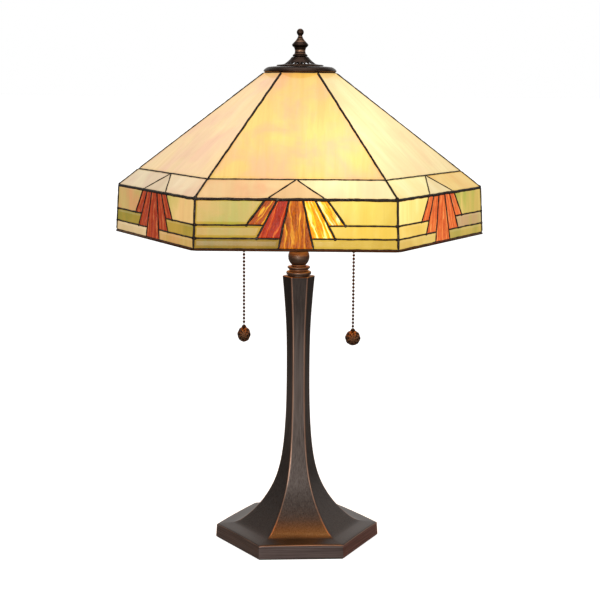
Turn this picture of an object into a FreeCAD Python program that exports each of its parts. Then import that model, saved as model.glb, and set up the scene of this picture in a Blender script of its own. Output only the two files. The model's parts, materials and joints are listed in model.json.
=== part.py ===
"""Two-light stained glass table lamp: hexagonal leaded shade on a cast hexagonal column and foot.

Millimetres, +Z up. The origin is the centre of the foot's underside, and -Y is the front. Every function
named after a piece returns that piece in its assembled place; the list at the end writes them out.
"""
import FreeCAD, Part
import math
import os

V = FreeCAD.Vector
UP = V(0, 0, 1)
CENTRE = V(0, 0, 0)

# ---- Shade: a hexagon with a flat face to the front ----
FACES = 6
SHADE_TOP_RADIUS = 39.4  # corner radii and heights of the shade's outer surface
SHADE_TOP_Z = 525.5
SHOULDER_RADIUS = 177.6
SHOULDER_Z = 420.0
RIM_RADIUS = 200.1
RIM_Z = 402.5
BAND_RADIUS = 203.1
BAND_Z = 352.3
SKIRT_RADIUS = 203.2  # corner radius of the wire round the bottom edge
SKIRT_Z = 350.2
SKIRT_WIDTH = 3.6
TOP_RING_RADIUS = 31.2
TOP_RING_WALL = 2.0
TOP_RING_DEPTH = 6.0
LEAD_DEPTH = 4.4  # thickness of the soldered lines, through the shade
GLASS_FACE = 0.7  # the glass lies this far under the outer face of the lead
GLASS_THICK = 3.0
LEAD_HALF = 1.15  # half the width of a lead line
HIP_HALF = 1.5  # the same where two faces or two tiers meet
EDGE_HALF = 0.6  # and along the top and bottom edges
HEART_HALF = 0.5  # half the lead between two panes
HIP_HEART = 0.6
EDGE_HEART = 0.3
PANE_GAP = 0.05  # clearance between a pane and its slot

# Where the pattern's lines cross: fractions of half a face across, and of a tier down
GABLE_FOOT = 0.285
RAY_TOPS = (0.065, 0.178, 0.292)
INNER_SEAM = 0.793
OUTER_SEAM = 0.532
CENTRE_RAY_FOOT = 0.171
INNER_RAY_FOOT = 0.382
OUTER_RAY_FOOT = 0.483

# ---- Foot and column ----
FOOT_TURN = 4.3  # the foot stands turned against the shade, degrees
FOOT_RADIUS = 93.0  # corner radius of the plinth where it stands
PLINTH_RADIUS = 92.2  # and at its upper edge
PLINTH_Z = 15.9
PAD_THICK = 1.0
COLUMN_TOP = 302.0
COLUMN_RIDGE = (  # corner radius and height, from the plinth's nearly flat border to the column's top
    (69.5, 18.0),
    (60.8, 23.6),
    (50.3, 32.6),
    (41.5, 42.4),
    (33.0, 54.7),
    (27.0, 66.3),
    (19.8, 89.8),
    (15.6, 121.0),
    (13.7, 156.0),
    (13.2, 198.0),
    (14.0, 245.0),
    (16.0, 276.0),
    (18.3, 302.0),
)
FOOT_WALL = 8.0
PLINTH_CAVITY_Z = 10.5
BALLAST_CAVITY = 42.0
BALLAST_LEDGE = 27.5
COLUMN_BORE = 8.0
WEB = 6.0

# ---- Threaded tube and what it clamps ----
ROD_RADIUS = 5.0
ROD_BORE = 3.6
ROD_HOLE = 5.05
ROD_BOTTOM = 12.0
ROD_TOP = 352.4
NUT_RADIUS = 9.0
NUT_Z = 13.2
NUT_THICK = 5.0
WASHER_THICK = 1.5
BALLAST_THICK = 7.5
GAP = 0.1  # clearance between pieces that rest on each other

# ---- Collar and neck ----
COLLAR_FOOT_RADIUS = 12.4
DISC_RADIUS = 13.8
UPPER_DISC_RADIUS = 12.4
COLLAR_TOP = 313.0
BALL_RADIUS = 11.9
BALL_Z = 323.3
CLUSTER_Z = 350.0
CLUSTER_RADIUS = 29.0

# ---- Cable ----
CABLE_RADIUS = 2.6
CABLE_Z = 7.0
CABLE_BEND = 5.0
CABLE_END = 122.0
GROMMET_RADIUS = 4.6
WIRE_RADIUS = 1.0
WIRE_APART = 2.8  # between the middles of a socket's two wires

# ---- Sockets and bulbs, drawn along their own axis and then leaned outwards ----
SOCKET_LEAN = 20.0
SOCKET_X = 24.0
SOCKET_Z = 372.0
SOCKET_LENGTH = 50.0
CAP_RADIUS = 17.4
CAP_LENGTH = 16.0
SHELL_RADIUS = 16.3
LINER_RADIUS = 15.2
SCREW_RADIUS = 13.7
BULB_CAP_RADIUS = 13.2
SWITCH_LEVEL = 24.0
GLOBE_RADIUS = 22.5
GLOBE_LEVEL = 79.0
BULB_NECK_RADIUS = 12.4
BULB_WALL = 0.9
SHEET = 1.0

# ---- Pull chains ----
CHAIN_X = 61.0
BARREL_RADIUS = 3.4
LIP_Z = 377.0
SIDE_PIVOT_Z = 375.4  # the coupling swings from side to side here
FORE_PIVOT_Z = 367.4  # and the chain swings to and fro here
BEAD_RADIUS = 1.6
BEAD_PITCH = 4.0
LINK_RADIUS = 0.45
PULL_RADIUS = 8.75
PULL_Z = {"left": 235.0, "right": 232.0}

# ---- Cap, finial and riser ----
RISER_RADIUS = 3.1
RISER_HOLE = 3.15
RISER_BOTTOM = 360.5
RISER_TOP = 551.0
VASE_CAP_RADIUS = 39.8
VASE_CAP_Z = 525.7
VASE_CAP_TOP = 531.5
PIERCED_RADIUS = 25.5
PIERCED_TOP = 542.0
HOLE_ROWS = ((16, 21.6), (12, 14.0))  # holes in each row round the pierced cap, and the row's radius
HOLE_RADIUS = 1.3
SEAT_RADIUS = 14.0
SEAT_THICK = 1.6
FINIAL_BASE = 542.1
FINIAL_TOP = 572.0
INSERT_RADIUS = 4.5


# ---- Drawing helpers ----
def outline(start, *moves):
    """A closed wire in the XZ plane.

    A move of two numbers is a straight line to (radius, height), a move of four is an arc through the first
    pair to the second, and the last point joins the first.
    """
    edges = []
    here = V(start[0], 0, start[1])
    first = here
    for move in moves:
        there = V(move[-2], 0, move[-1])
        if len(move) == 4:
            edges.append(Part.Arc(here, V(move[0], 0, move[1]), there).toShape())
        else:
            edges.append(Part.makeLine(here, there))
        here = there
    if here.distanceToPoint(first) > 1e-6:
        edges.append(Part.makeLine(here, first))
    return Part.Wire(edges)


def turned(start, *moves):
    """A solid turned about the Z axis from an outline."""
    return Part.Face(outline(start, *moves)).revolve(CENTRE, UP, 360)


def hexagon(corner_radius, z):
    """The six corners of a hexagon at a height, the first on +X."""
    corners = []
    for side in range(FACES):
        angle = math.radians(60 * side)
        corners.append(V(corner_radius * math.cos(angle), corner_radius * math.sin(angle), z))
    return corners


def polygon_face(points):
    """A plane face through points in order."""
    return Part.Face(Part.makePolygon(list(points) + [points[0]]))


def solid_of(faces):
    """A solid closed by faces that meet edge to edge."""
    shell = Part.makeShell(faces)
    shell.sewShape()
    solid = Part.makeSolid(Part.Shell(shell.Faces))
    if solid.Volume < 0:
        solid.reverse()
    return solid


def hexagonal_block(low_radius, low_z, high_radius, high_z):
    """A hexagonal prism or frustum between two heights."""
    low = hexagon(low_radius, low_z)
    high = hexagon(high_radius, high_z)
    faces = [polygon_face(low), polygon_face(high)]
    for side in range(FACES):
        after = (side + 1) % FACES
        faces.append(polygon_face([low[side], low[after], high[after], high[side]]))
    return solid_of(faces)


def round_bar(radius, low, high, x=0.0, y=0.0):
    """An upright cylinder between two heights."""
    return Part.makeCylinder(radius, high - low, V(x, y, low), UP)


def tube(outer, inner, low, high):
    """An upright tube between two heights."""
    return turned((inner, low), (outer, low), (outer, high), (inner, high))


def rotated(shape, degrees, axis=UP):
    """A copy turned about an axis through the origin."""
    copy = shape.copy()
    copy.rotate(CENTRE, axis, degrees)
    return copy


def on_side(shape, side):
    """A right-hand shape, or its copy half a turn round for the left."""
    return shape if side == "right" else rotated(shape, 180)


def on_foot(shape):
    """A shape turned with the foot."""
    return rotated(shape, FOOT_TURN)


def in_socket(shape, side):
    """A shape drawn along a socket's own axis, leaned outwards and set in its place."""
    leaned = rotated(shape, SOCKET_LEAN, V(0, 1, 0))
    leaned.translate(V(SOCKET_X, 0, SOCKET_Z))
    return on_side(leaned, side)


# ---- Shade ----
FLAT = math.cos(math.radians(30))  # flat radius over corner radius
TIERS = ("upper", "shoulder", "band")
TIER_LINES = (
    (SHADE_TOP_RADIUS * FLAT, SHADE_TOP_Z),
    (SHOULDER_RADIUS * FLAT, SHOULDER_Z),
    (RIM_RADIUS * FLAT, RIM_Z),
    (BAND_RADIUS * FLAT, BAND_Z),
)


def unit(out, rise):
    """A direction of length one in the plane of (flat radius, height)."""
    length = math.hypot(out, rise)
    return out / length, rise / length


def slope(tier):
    """The direction down a tier."""
    top, bottom = TIER_LINES[tier], TIER_LINES[tier + 1]
    return unit(bottom[0] - top[0], bottom[1] - top[1])


def end_plane(line):
    """The downward direction square to the joint at one of the tier lines."""
    if line in (0, len(TIER_LINES) - 1):
        return 0.0, -1.0
    above, below = slope(line - 1), slope(line)
    return unit(above[0] + below[0], above[1] + below[1])


def crossing(tier, line, depth, shift):
    """Where the plane at a depth under a tier's face meets an end plane moved down by a shift."""
    down = slope(tier)
    normal = (-down[1], down[0])
    across = end_plane(line)
    point = TIER_LINES[line]
    a = normal[0] * point[0] + normal[1] * point[1] - depth
    b = across[0] * point[0] + across[1] * point[1] + shift
    det = normal[0] * across[1] - normal[1] * across[0]
    return (a * across[1] - b * normal[1]) / det, (normal[0] * b - across[0] * a) / det


def tier_block(tier, shallow, deep, hip, joint, edge):
    """The part of the front face's tier between two depths, held back from its four sides."""
    last = len(TIER_LINES) - 1
    top_shift = edge if tier == 0 else joint
    bottom_shift = edge if tier + 1 == last else joint
    rings = []
    for depth in (shallow, deep):
        upper = crossing(tier, tier, depth, top_shift)
        lower = crossing(tier, tier + 1, depth, -bottom_shift)
        ring = []
        for (flat, z), sides in ((upper, (-1, 1)), (lower, (1, -1))):
            half = (0.5 * flat - hip) / FLAT
            ring.extend(V(side * half, -flat, z) for side in sides)
        rings.append(ring)
    faces = [polygon_face(rings[0]), polygon_face(rings[1])]
    for edge_number in range(4):
        after = (edge_number + 1) % 4
        faces.append(
            polygon_face([rings[0][edge_number], rings[0][after], rings[1][after], rings[1][edge_number]])
        )
    return solid_of(faces)


def inset(points, distance):
    """A convex polygon with every side moved inwards."""
    area = sum(a[0] * b[1] - b[0] * a[1] for a, b in zip(points, points[1:] + points[:1]))
    if area < 0:
        points = points[::-1]
    lines = []
    for a, b in zip(points, points[1:] + points[:1]):
        along = unit(b[0] - a[0], b[1] - a[1])
        inward = (-along[1], along[0])
        lines.append((inward, inward[0] * a[0] + inward[1] * a[1] + distance))
    result = []
    for (m, c), (n, d) in zip(lines[-1:] + lines[:-1], lines):
        det = m[0] * n[1] - m[1] * n[0]
        result.append(((c * n[1] - d * m[1]) / det, (m[0] * d - n[0] * c) / det))
    return result


def pane_column(tier, corners, distance):
    """A pane's outline, held in by a distance and drawn right through the shade."""
    top, bottom = TIER_LINES[tier], TIER_LINES[tier + 1]
    length = math.hypot(bottom[0] - top[0], bottom[1] - top[1])
    down = slope(tier)
    flat_points = []
    for across, fraction in corners:
        flat = top[0] + (bottom[0] - top[0]) * fraction
        flat_points.append((across * flat * math.tan(math.radians(30)), fraction * length))
    outward = V(0, down[1], down[0])
    points = []
    for x, run in inset(flat_points, distance):
        points.append(V(x, -(top[0] + down[0] * run), top[1] + down[1] * run) + outward)
    return polygon_face(points).extrude(outward * -(LEAD_DEPTH + 2))


def mirrored_pair(corners):
    """The outlines of a pane and its mirror image across the face."""
    return [corners, [(-across, down) for across, down in corners]]


def ray_edge(ray_top, ray_foot, foot_at, down):
    """How far across a ray's edge is at a fraction down the band."""
    return ray_top + (ray_foot - ray_top) * down / foot_at


CENTRE_AT_SEAM = ray_edge(RAY_TOPS[0], CENTRE_RAY_FOOT, 1.0, INNER_SEAM)
INNER_AT_SEAM = ray_edge(RAY_TOPS[1], INNER_RAY_FOOT, INNER_SEAM, OUTER_SEAM)
PANES = {
    "upper_panel_glass": (0, [[(-1, 0), (1, 0), (1, 1), (-1, 1)]]),
    "shoulder_glass": (1, mirrored_pair([(0, 0), (1, 0), (1, 1), (GABLE_FOOT, 1)])),
    "gable_glass": (1, [[(0, 0), (GABLE_FOOT, 1), (-GABLE_FOOT, 1)]]),
    "centre_ray_glass": (
        2,
        [[(-RAY_TOPS[0], 0), (RAY_TOPS[0], 0), (CENTRE_RAY_FOOT, 1), (-CENTRE_RAY_FOOT, 1)]],
    ),
    "inner_ray_glass": (
        2,
        mirrored_pair(
            [
                (RAY_TOPS[0], 0),
                (RAY_TOPS[1], 0),
                (INNER_RAY_FOOT, INNER_SEAM),
                (CENTRE_AT_SEAM, INNER_SEAM),
            ]
        ),
    ),
    "outer_ray_glass": (
        2,
        mirrored_pair(
            [
                (RAY_TOPS[1], 0),
                (RAY_TOPS[2], 0),
                (OUTER_RAY_FOOT, OUTER_SEAM),
                (INNER_AT_SEAM, OUTER_SEAM),
            ]
        ),
    ),
    "top_band_glass": (
        2,
        mirrored_pair([(RAY_TOPS[2], 0), (1, 0), (1, OUTER_SEAM), (OUTER_RAY_FOOT, OUTER_SEAM)]),
    ),
    "middle_band_glass": (
        2,
        mirrored_pair(
            [
                (INNER_AT_SEAM, OUTER_SEAM),
                (1, OUTER_SEAM),
                (1, INNER_SEAM),
                (INNER_RAY_FOOT, INNER_SEAM),
            ]
        ),
    ),
    "lower_band_glass": (
        2,
        mirrored_pair([(CENTRE_AT_SEAM, INNER_SEAM), (1, INNER_SEAM), (1, 1), (CENTRE_RAY_FOOT, 1)]),
    ),
}


def round_the_shade(front):
    """A front-face shape and its five copies round the shade."""
    return [rotated(front, 60 * side) for side in range(FACES)]


def pane_solids(name, shallow, deep, held, hip, edge):
    """Each of a node's panes on the front face, as solids between two depths."""
    tier, outlines = PANES[name]
    block = tier_block(tier, shallow, deep, hip, hip, edge)
    return [pane_column(tier, corners, held).common(block) for corners in outlines]


def glass(name):
    """All of a node's panes, round the shade."""
    deep = GLASS_FACE + GLASS_THICK
    front = pane_solids(name, GLASS_FACE, deep, HEART_HALF, HIP_HEART, EDGE_HEART)
    panes = []
    for pane in front:
        panes.extend(round_the_shade(pane.Solids[0]))
    return Part.makeCompound(panes)


def shade_leading():
    """The soldered net between the panes: a hexagonal shell with a window and a slot for each pane."""
    cutters = []
    slot_face = GLASS_FACE - PANE_GAP
    slot_back = GLASS_FACE + GLASS_THICK + PANE_GAP
    for name in PANES:
        cutters += pane_solids(name, -0.5, LEAD_DEPTH + 0.5, LEAD_HALF, HIP_HALF, EDGE_HALF)
        cutters += pane_solids(
            name,
            slot_face,
            slot_back,
            HEART_HALF - PANE_GAP,
            HIP_HEART - PANE_GAP,
            EDGE_HEART - PANE_GAP,
        )
    blocks = [tier_block(tier, 0, LEAD_DEPTH, 0, 0, 0) for tier in range(len(TIERS))]
    sector = blocks[0].multiFuse(blocks[1:]).cut(cutters)
    sectors = round_the_shade(sector)
    return sectors[0].multiFuse(sectors[1:])


def rim_wire():
    """The stiffening wire soldered under the bottom edge."""
    inside = SKIRT_RADIUS - SKIRT_WIDTH
    outer = hexagonal_block(SKIRT_RADIUS, SKIRT_Z, SKIRT_RADIUS, BAND_Z - PANE_GAP)
    inner = hexagonal_block(inside, SKIRT_Z - 1, inside, BAND_Z + 1)
    return outer.cut(inner)


def shade_top_ring():
    """The hexagonal brass band soldered inside the shade's top opening."""
    inside = TOP_RING_RADIUS - TOP_RING_WALL
    low = SHADE_TOP_Z - TOP_RING_DEPTH
    outer = hexagonal_block(TOP_RING_RADIUS, low, TOP_RING_RADIUS, SHADE_TOP_Z - GAP)
    inner = hexagonal_block(inside, low - 1, inside, SHADE_TOP_Z + 1)
    return outer.cut(inner)


# ---- Cap and finial ----
def vase_cap():
    """The domed sheet-metal cap over the top opening, with a rolled edge."""
    rim = VASE_CAP_RADIUS
    low = VASE_CAP_Z
    top = VASE_CAP_TOP
    return turned(
        (RISER_HOLE, top - SHEET),
        (26.5, top - SHEET),
        (34.0, top - 2.3, rim - 1.8, low),
        (rim - 0.9, low),
        (rim, low + 0.7, rim - 0.6, low + 1.6),
        (35.0, top - 1.3, 26.5, top),
        (RISER_HOLE, top),
    )


def pierced_cap():
    """The conical cap with two rows of round holes, standing on the vase cap."""
    low = VASE_CAP_TOP + GAP
    cap = turned(
        (PIERCED_RADIUS - 1.0, low),
        (PIERCED_RADIUS, low + 0.4),
        (PIERCED_RADIUS - 0.8, low + 1.4),
        (20.0, low + 1.7),
        (16.0, low + 3.4),
        (11.0, low + 6.2, 8.8, PIERCED_TOP - 1.2),
        (8.4, PIERCED_TOP),
        (RISER_HOLE, PIERCED_TOP),
        (RISER_HOLE, PIERCED_TOP - SHEET),
        (7.9, PIERCED_TOP - SHEET),
        (10.2, low + 5.4, 15.4, low + 2.5),
        (19.8, low + 0.8),
        (23.0, low),
    )
    holes = []
    for count, radius in HOLE_ROWS:
        for number in range(count):
            angle = 2 * math.pi * number / count
            place = V(radius * math.cos(angle), radius * math.sin(angle), low - 1)
            holes.append(Part.makeCylinder(HOLE_RADIUS, PIERCED_TOP + 2 - low, place, UP))
    return cap.cut(holes)


def finial():
    """The turned finial: foot ring, waist, collar, neck and ball, bored from below for its insert."""
    base = FINIAL_BASE
    ball = 3.9
    ball_z = FINIAL_TOP - ball
    neck_z = ball_z - ball * math.sin(math.radians(50))
    neck = ball * math.cos(math.radians(50))
    return turned(
        (INSERT_RADIUS + PANE_GAP, base),
        (7.6, base),
        (8.2, base + 1.0, 7.6, base + 2.0),
        (6.3, base + 2.8),
        (5.7, base + 6.4, 6.6, base + 9.4),
        (8.3, base + 10.6),
        (9.0, base + 12.2, 8.3, base + 13.8),
        (6.4, base + 15.2),
        (5.4, base + 17.2, 3.4, base + 18.8),
        (2.9, base + 20.4, neck, neck_z),
        (ball, ball_z, 0, FINIAL_TOP),
        (0, RISER_TOP + 1.5),
        (INSERT_RADIUS + PANE_GAP, RISER_TOP + 1.5),
    )


def finial_insert():
    """The tapped brass insert inside the finial."""
    return tube(INSERT_RADIUS, RISER_HOLE, FINIAL_BASE + GAP, RISER_TOP + 1.0)


def riser_rod():
    """The rod from the cluster body up to the finial."""
    return round_bar(RISER_RADIUS, RISER_BOTTOM, RISER_TOP)


def cap_seat():
    """The disc that the vase cap rests on."""
    top = VASE_CAP_TOP - SHEET - GAP
    low = top - SEAT_THICK
    rim = SEAT_RADIUS
    return turned((RISER_HOLE, low), (rim - 1.0, low), (rim, low + 0.8), (rim, top), (RISER_HOLE, top))


def seat_nut():
    """The hexagonal nut under the seat."""
    top = VASE_CAP_TOP - SHEET - 2 * GAP - SEAT_THICK
    return hexagonal_block(6.6, top - 4.5, 6.6, top).cut(round_bar(RISER_HOLE, top - 5, top + 1))


# ---- Foot, column and neck ----
def flared_column():
    """Six ruled faces between curved ridges, closed by a hexagon at each end."""
    ridges = []
    for side in range(FACES):
        angle = math.radians(60 * side)
        curve = Part.BSplineCurve()
        curve.interpolate([V(r * math.cos(angle), r * math.sin(angle), z) for r, z in COLUMN_RIDGE])
        ridges.append(curve.toShape())
    faces = [Part.makeRuledSurface(ridges[side], ridges[(side + 1) % FACES]) for side in range(FACES)]
    for radius, z in (COLUMN_RIDGE[0], COLUMN_RIDGE[-1]):
        faces.append(polygon_face(hexagon(radius, z)))
    return solid_of(faces)


def base_column():
    """The hollow casting of plinth, foot and column."""
    plinth = hexagonal_block(FOOT_RADIUS, PAD_THICK + GAP, PLINTH_RADIUS, PLINTH_Z)
    border = hexagonal_block(PLINTH_RADIUS, PLINTH_Z, *COLUMN_RIDGE[0])
    body = plinth.multiFuse([border, flared_column()])
    body = body.cut(
        [
            hexagonal_block(FOOT_RADIUS - FOOT_WALL, 0, FOOT_RADIUS - FOOT_WALL, PLINTH_CAVITY_Z),
            hexagonal_block(BALLAST_CAVITY, 0, BALLAST_CAVITY, BALLAST_LEDGE),
            round_bar(ROD_HOLE, 0, COLUMN_TOP + 1),
            round_bar(COLUMN_BORE, BALLAST_LEDGE + WEB, COLUMN_TOP - WEB),
            Part.makeCylinder(GROMMET_RADIUS + PANE_GAP, 40, V(0, 60, CABLE_Z), V(0, 1, 0)),
        ]
    )
    return on_foot(body)


def felt_pad():
    """The felt under the foot."""
    return on_foot(hexagonal_block(FOOT_RADIUS - 2, 0, FOOT_RADIUS - 2, PAD_THICK))


def ballast_plate():
    """The iron plate clamped up against the ledge inside the foot."""
    top = BALLAST_LEDGE - GAP
    radius = BALLAST_CAVITY - 1
    plate = hexagonal_block(radius, top - BALLAST_THICK, radius, top)
    return on_foot(plate.cut(round_bar(ROD_HOLE, 0, top + 1)))


def rod_nut():
    """The nut at the bottom of the threaded tube."""
    nut = hexagonal_block(NUT_RADIUS, NUT_Z, NUT_RADIUS, NUT_Z + NUT_THICK)
    return nut.cut(round_bar(ROD_HOLE, 0, NUT_Z + NUT_THICK + 1))


def rod_washer():
    """The washer over the nut."""
    low = NUT_Z + NUT_THICK + GAP
    return tube(12.0, ROD_HOLE, low, low + WASHER_THICK - 0.2)


def centre_rod():
    """The threaded tube that clamps the lamp together and carries the cable."""
    return tube(ROD_RADIUS, ROD_BORE, ROD_BOTTOM, ROD_TOP)


def column_collar():
    """The two-disc collar on top of the column."""
    low = COLUMN_TOP + GAP
    return turned(
        (ROD_HOLE, low),
        (COLLAR_FOOT_RADIUS, low),
        (COLLAR_FOOT_RADIUS, low + 1.4),
        (DISC_RADIUS - 0.5, low + 1.9),
        (DISC_RADIUS, low + 3.4, DISC_RADIUS - 0.5, low + 4.9),
        (11.2, low + 5.6),
        (10.6, low + 6.6, 11.2, low + 7.6),
        (UPPER_DISC_RADIUS - 0.4, low + 8.3),
        (UPPER_DISC_RADIUS, low + 9.5, UPPER_DISC_RADIUS - 0.4, low + 10.7),
        (ROD_HOLE, COLLAR_TOP - 0.2),
    )


def neck_spindle():
    """The turned ball and the sleeve above it."""
    low = COLLAR_TOP
    foot = math.sqrt(BALL_RADIUS ** 2 - (BALL_Z - low - 1.0) ** 2)
    return turned(
        (ROD_HOLE, low),
        (foot + 0.9, low),
        (foot, low + 1.0),
        (BALL_RADIUS, BALL_Z, 7.0, BALL_Z + math.sqrt(BALL_RADIUS ** 2 - 49.0)),
        (6.6, BALL_Z + 13.0),
        (6.6, CLUSTER_Z - 4.0),
        (9.5, CLUSTER_Z - GAP),
        (ROD_HOLE, CLUSTER_Z - GAP),
    )


def cluster_body():
    """The hollow drum that joins the tube, the two sockets and the riser."""
    low = CLUSTER_Z
    wide = CLUSTER_RADIUS
    drum = turned(
        (0, low),
        (21.0, low),
        (wide, low + 3.0),
        (wide + 1.0, low + 6.0, wide, low + 9.0),
        (wide - 4.0, low + 12.0),
        (9.5, low + 13.0),
        (8.5, low + 19.0),
        (0, low + 19.0),
    )
    boss = round_bar(8.5, -13.0, -GAP)
    nipple_hole = round_bar(ROD_HOLE, -17.0, 1.0)
    drum = drum.multiFuse([in_socket(boss, "right"), in_socket(boss, "left")])
    cavity = round_bar(20.0, low + 3.0, low + 9.0)
    return drum.cut(
        [
            cavity,
            in_socket(nipple_hole, "right"),
            in_socket(nipple_hole, "left"),
            round_bar(ROD_HOLE, low - 1.0, low + 4.0),
            round_bar(RISER_HOLE, low + 8.0, low + 20.0),
        ]
    )


# ---- Cable ----
def flex_cable():
    """The cable from the cluster down the tube and out through the back of the plinth, cut short."""
    bend = CABLE_BEND
    top = V(0, 0, CLUSTER_Z + 2.0)
    start = V(0, 0, CABLE_Z + bend)
    side = bend * math.sin(math.radians(45))
    middle = V(0, bend - side, CABLE_Z + bend - side)
    corner = V(0, bend, CABLE_Z)
    end = V(0, CABLE_END, CABLE_Z)
    path = Part.Wire(
        [Part.makeLine(top, start), Part.Arc(start, middle, corner).toShape(), Part.makeLine(corner, end)]
    )
    profile = Part.Face(Part.Wire([Part.makeCircle(CABLE_RADIUS, top, V(0, 0, -1))]))
    return on_foot(path.makePipe(profile))


def flex_grommet():
    """The bush in the back of the plinth that the cable leaves through."""
    face = (FOOT_RADIUS - FOOT_WALL) * FLAT
    outside = FOOT_RADIUS * FLAT + GAP
    hole = CABLE_RADIUS + PANE_GAP
    bush = turned(
        (hole, face - 1.5),
        (GROMMET_RADIUS, face - 1.5),
        (GROMMET_RADIUS, outside),
        (GROMMET_RADIUS + 1.2, outside),
        (GROMMET_RADIUS + 1.0, outside + 1.6),
        (hole, outside + 2.4),
    )
    bush = rotated(bush, -90, V(1, 0, 0))
    bush.translate(V(0, 0, CABLE_Z))
    return on_foot(bush)


def lead_wires():
    """The pair of wires through each nipple to its socket."""
    wires = []
    for side in ("right", "left"):
        for x in (-WIRE_APART / 2, WIRE_APART / 2):
            wires.append(in_socket(round_bar(WIRE_RADIUS, -9.5, 7.6, x), side))
    return Part.makeCompound(wires)


# ---- Sockets ----
def socket_nipple(side):
    """The threaded nipple between the cluster and a socket."""
    return in_socket(tube(ROD_RADIUS, ROD_BORE, -9.0, 4.0), side)


def socket_cap(side):
    """The cupped lower half of the socket's metal case."""
    inner = CAP_RADIUS - SHEET
    return in_socket(
        turned(
            (ROD_HOLE, 0),
            (11.0, 0),
            (16.0, 1.8, CAP_RADIUS, 6.5),
            (CAP_RADIUS, CAP_LENGTH),
            (inner, CAP_LENGTH),
            (inner, 6.8),
            (15.1, 2.8, 10.8, SHEET),
            (ROD_HOLE, SHEET),
        ),
        side,
    )


def socket_shell(side):
    """The upper half of the case, a tube with a rolled mouth and a hole for the switch."""
    inner = SHELL_RADIUS - 0.8
    case = turned(
        (inner, 9.0),
        (SHELL_RADIUS, 9.0),
        (SHELL_RADIUS, SOCKET_LENGTH - 2.4),
        (SHELL_RADIUS + 1.0, SOCKET_LENGTH - 1.2, SHELL_RADIUS, SOCKET_LENGTH),
        (inner, SOCKET_LENGTH),
    )
    hole = Part.makeCylinder(3.1, 6.0, V(SHELL_RADIUS - 3, 0, SWITCH_LEVEL), V(1, 0, 0))
    return in_socket(case.cut(hole), side)


def socket_liner(side):
    """The insulating body inside the case."""
    body = turned(
        (1.6, 8.0),
        (LINER_RADIUS, 8.0),
        (LINER_RADIUS, SOCKET_LENGTH - 1.5),
        (SCREW_RADIUS + PANE_GAP, SOCKET_LENGTH - 1.5),
        (SCREW_RADIUS + PANE_GAP, 25.0),
        (1.6, 25.0),
    )
    return in_socket(body, side)


def screw_shell(side):
    """The threaded metal shell that grips the bulb's cap."""
    return in_socket(tube(SCREW_RADIUS, SCREW_RADIUS - 0.4, 25.2, 47.0), side)


def centre_contact(side):
    """The brass contact at the bottom of the socket and its rivet."""
    return in_socket(turned((0, 8.2), (1.5, 8.2), (1.5, 25.1), (4.0, 25.1), (4.0, 26.0), (0, 26.4)), side)


def bell_mouth(side):
    """The guide that leads the switch's chain out of the case and turns it downwards."""
    stub = Part.makeCylinder(3.0, 30.6, V(LINER_RADIUS + 0.1, 0, SWITCH_LEVEL), V(1, 0, 0))
    stub = in_socket(stub, "right")
    past_barrel = Part.makeBox(60, 60, 60, V(CHAIN_X, -30, SOCKET_Z - 20))
    barrel = turned(
        (0, LIP_Z + 1.0),
        (3.0, LIP_Z + 1.0),
        (4.4, LIP_Z),
        (4.9, LIP_Z + 0.7, 4.4, LIP_Z + 1.4),
        (BARREL_RADIUS, LIP_Z + 4.0),
        (BARREL_RADIUS, LIP_Z + 10.0),
        (BARREL_RADIUS * 0.72, LIP_Z + 13.0, 0, LIP_Z + 14.0),
    )
    barrel.translate(V(CHAIN_X, 0, 0))
    way_down = round_bar(2.3, LIP_Z - 1.0, LIP_Z + 11.5, CHAIN_X)
    way_in = in_socket(
        Part.makeCylinder(2.0, 30.0, V(LINER_RADIUS, 0, SWITCH_LEVEL), V(1, 0, 0)), "right"
    )
    guide = stub.cut(past_barrel).fuse(barrel).cut([way_down, way_in])
    return on_side(guide, side)


# ---- Bulbs ----
def bulb_cap(side):
    """The bulb's screw cap, hollow, with its insulated tip."""
    wall = BULB_WALL
    radius = BULB_CAP_RADIUS
    return in_socket(
        turned(
            (0, 26.5),
            (4.2, 26.6),
            (5.0, 28.6),
            (12.0, 31.0),
            (radius, 32.2),
            (radius, SOCKET_LENGTH - 0.6),
            (radius - wall, SOCKET_LENGTH - 0.6),
            (radius - wall, 32.8),
            (11.4, 31.8),
            (0, 29.4),
        ),
        side,
    )


def globe_outline(depth, neck_level):
    """The moves that follow a bulb's glass, at a depth under its face, from its neck to its crown."""
    radius = GLOBE_RADIUS - depth
    join = math.radians(-53)
    at_join = (radius * math.cos(join), GLOBE_LEVEL + radius * math.sin(join))
    widest = (radius, GLOBE_LEVEL)
    return (BULB_NECK_RADIUS - depth, neck_level), at_join, widest + (0, GLOBE_LEVEL + radius)


def bulb_glass(side):
    """The bulb's glass, blown as a globe on a short neck."""
    neck_level = SOCKET_LENGTH - 0.5
    start, join, crown = globe_outline(0, neck_level)
    outside = turned((0, neck_level), start, join, crown)
    start, join, crown = globe_outline(BULB_WALL, neck_level - 1)
    inside = turned((0, neck_level - 1), start, join, crown)
    return in_socket(outside.cut(inside), side)


def bulb_stem(side):
    """The glass stem and lamp element inside the bulb."""
    low = SOCKET_LENGTH - 0.4
    tip = 2.2
    high = low + 24.0
    reach = tip * math.sin(math.radians(45))
    return in_socket(
        turned(
            (0, low),
            (8.0, low),
            (8.0, low + 1.2),
            (3.4, low + 7.0),
            (tip, high),
            (reach, high + reach, 0, high + tip),
        ),
        side,
    )


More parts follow.
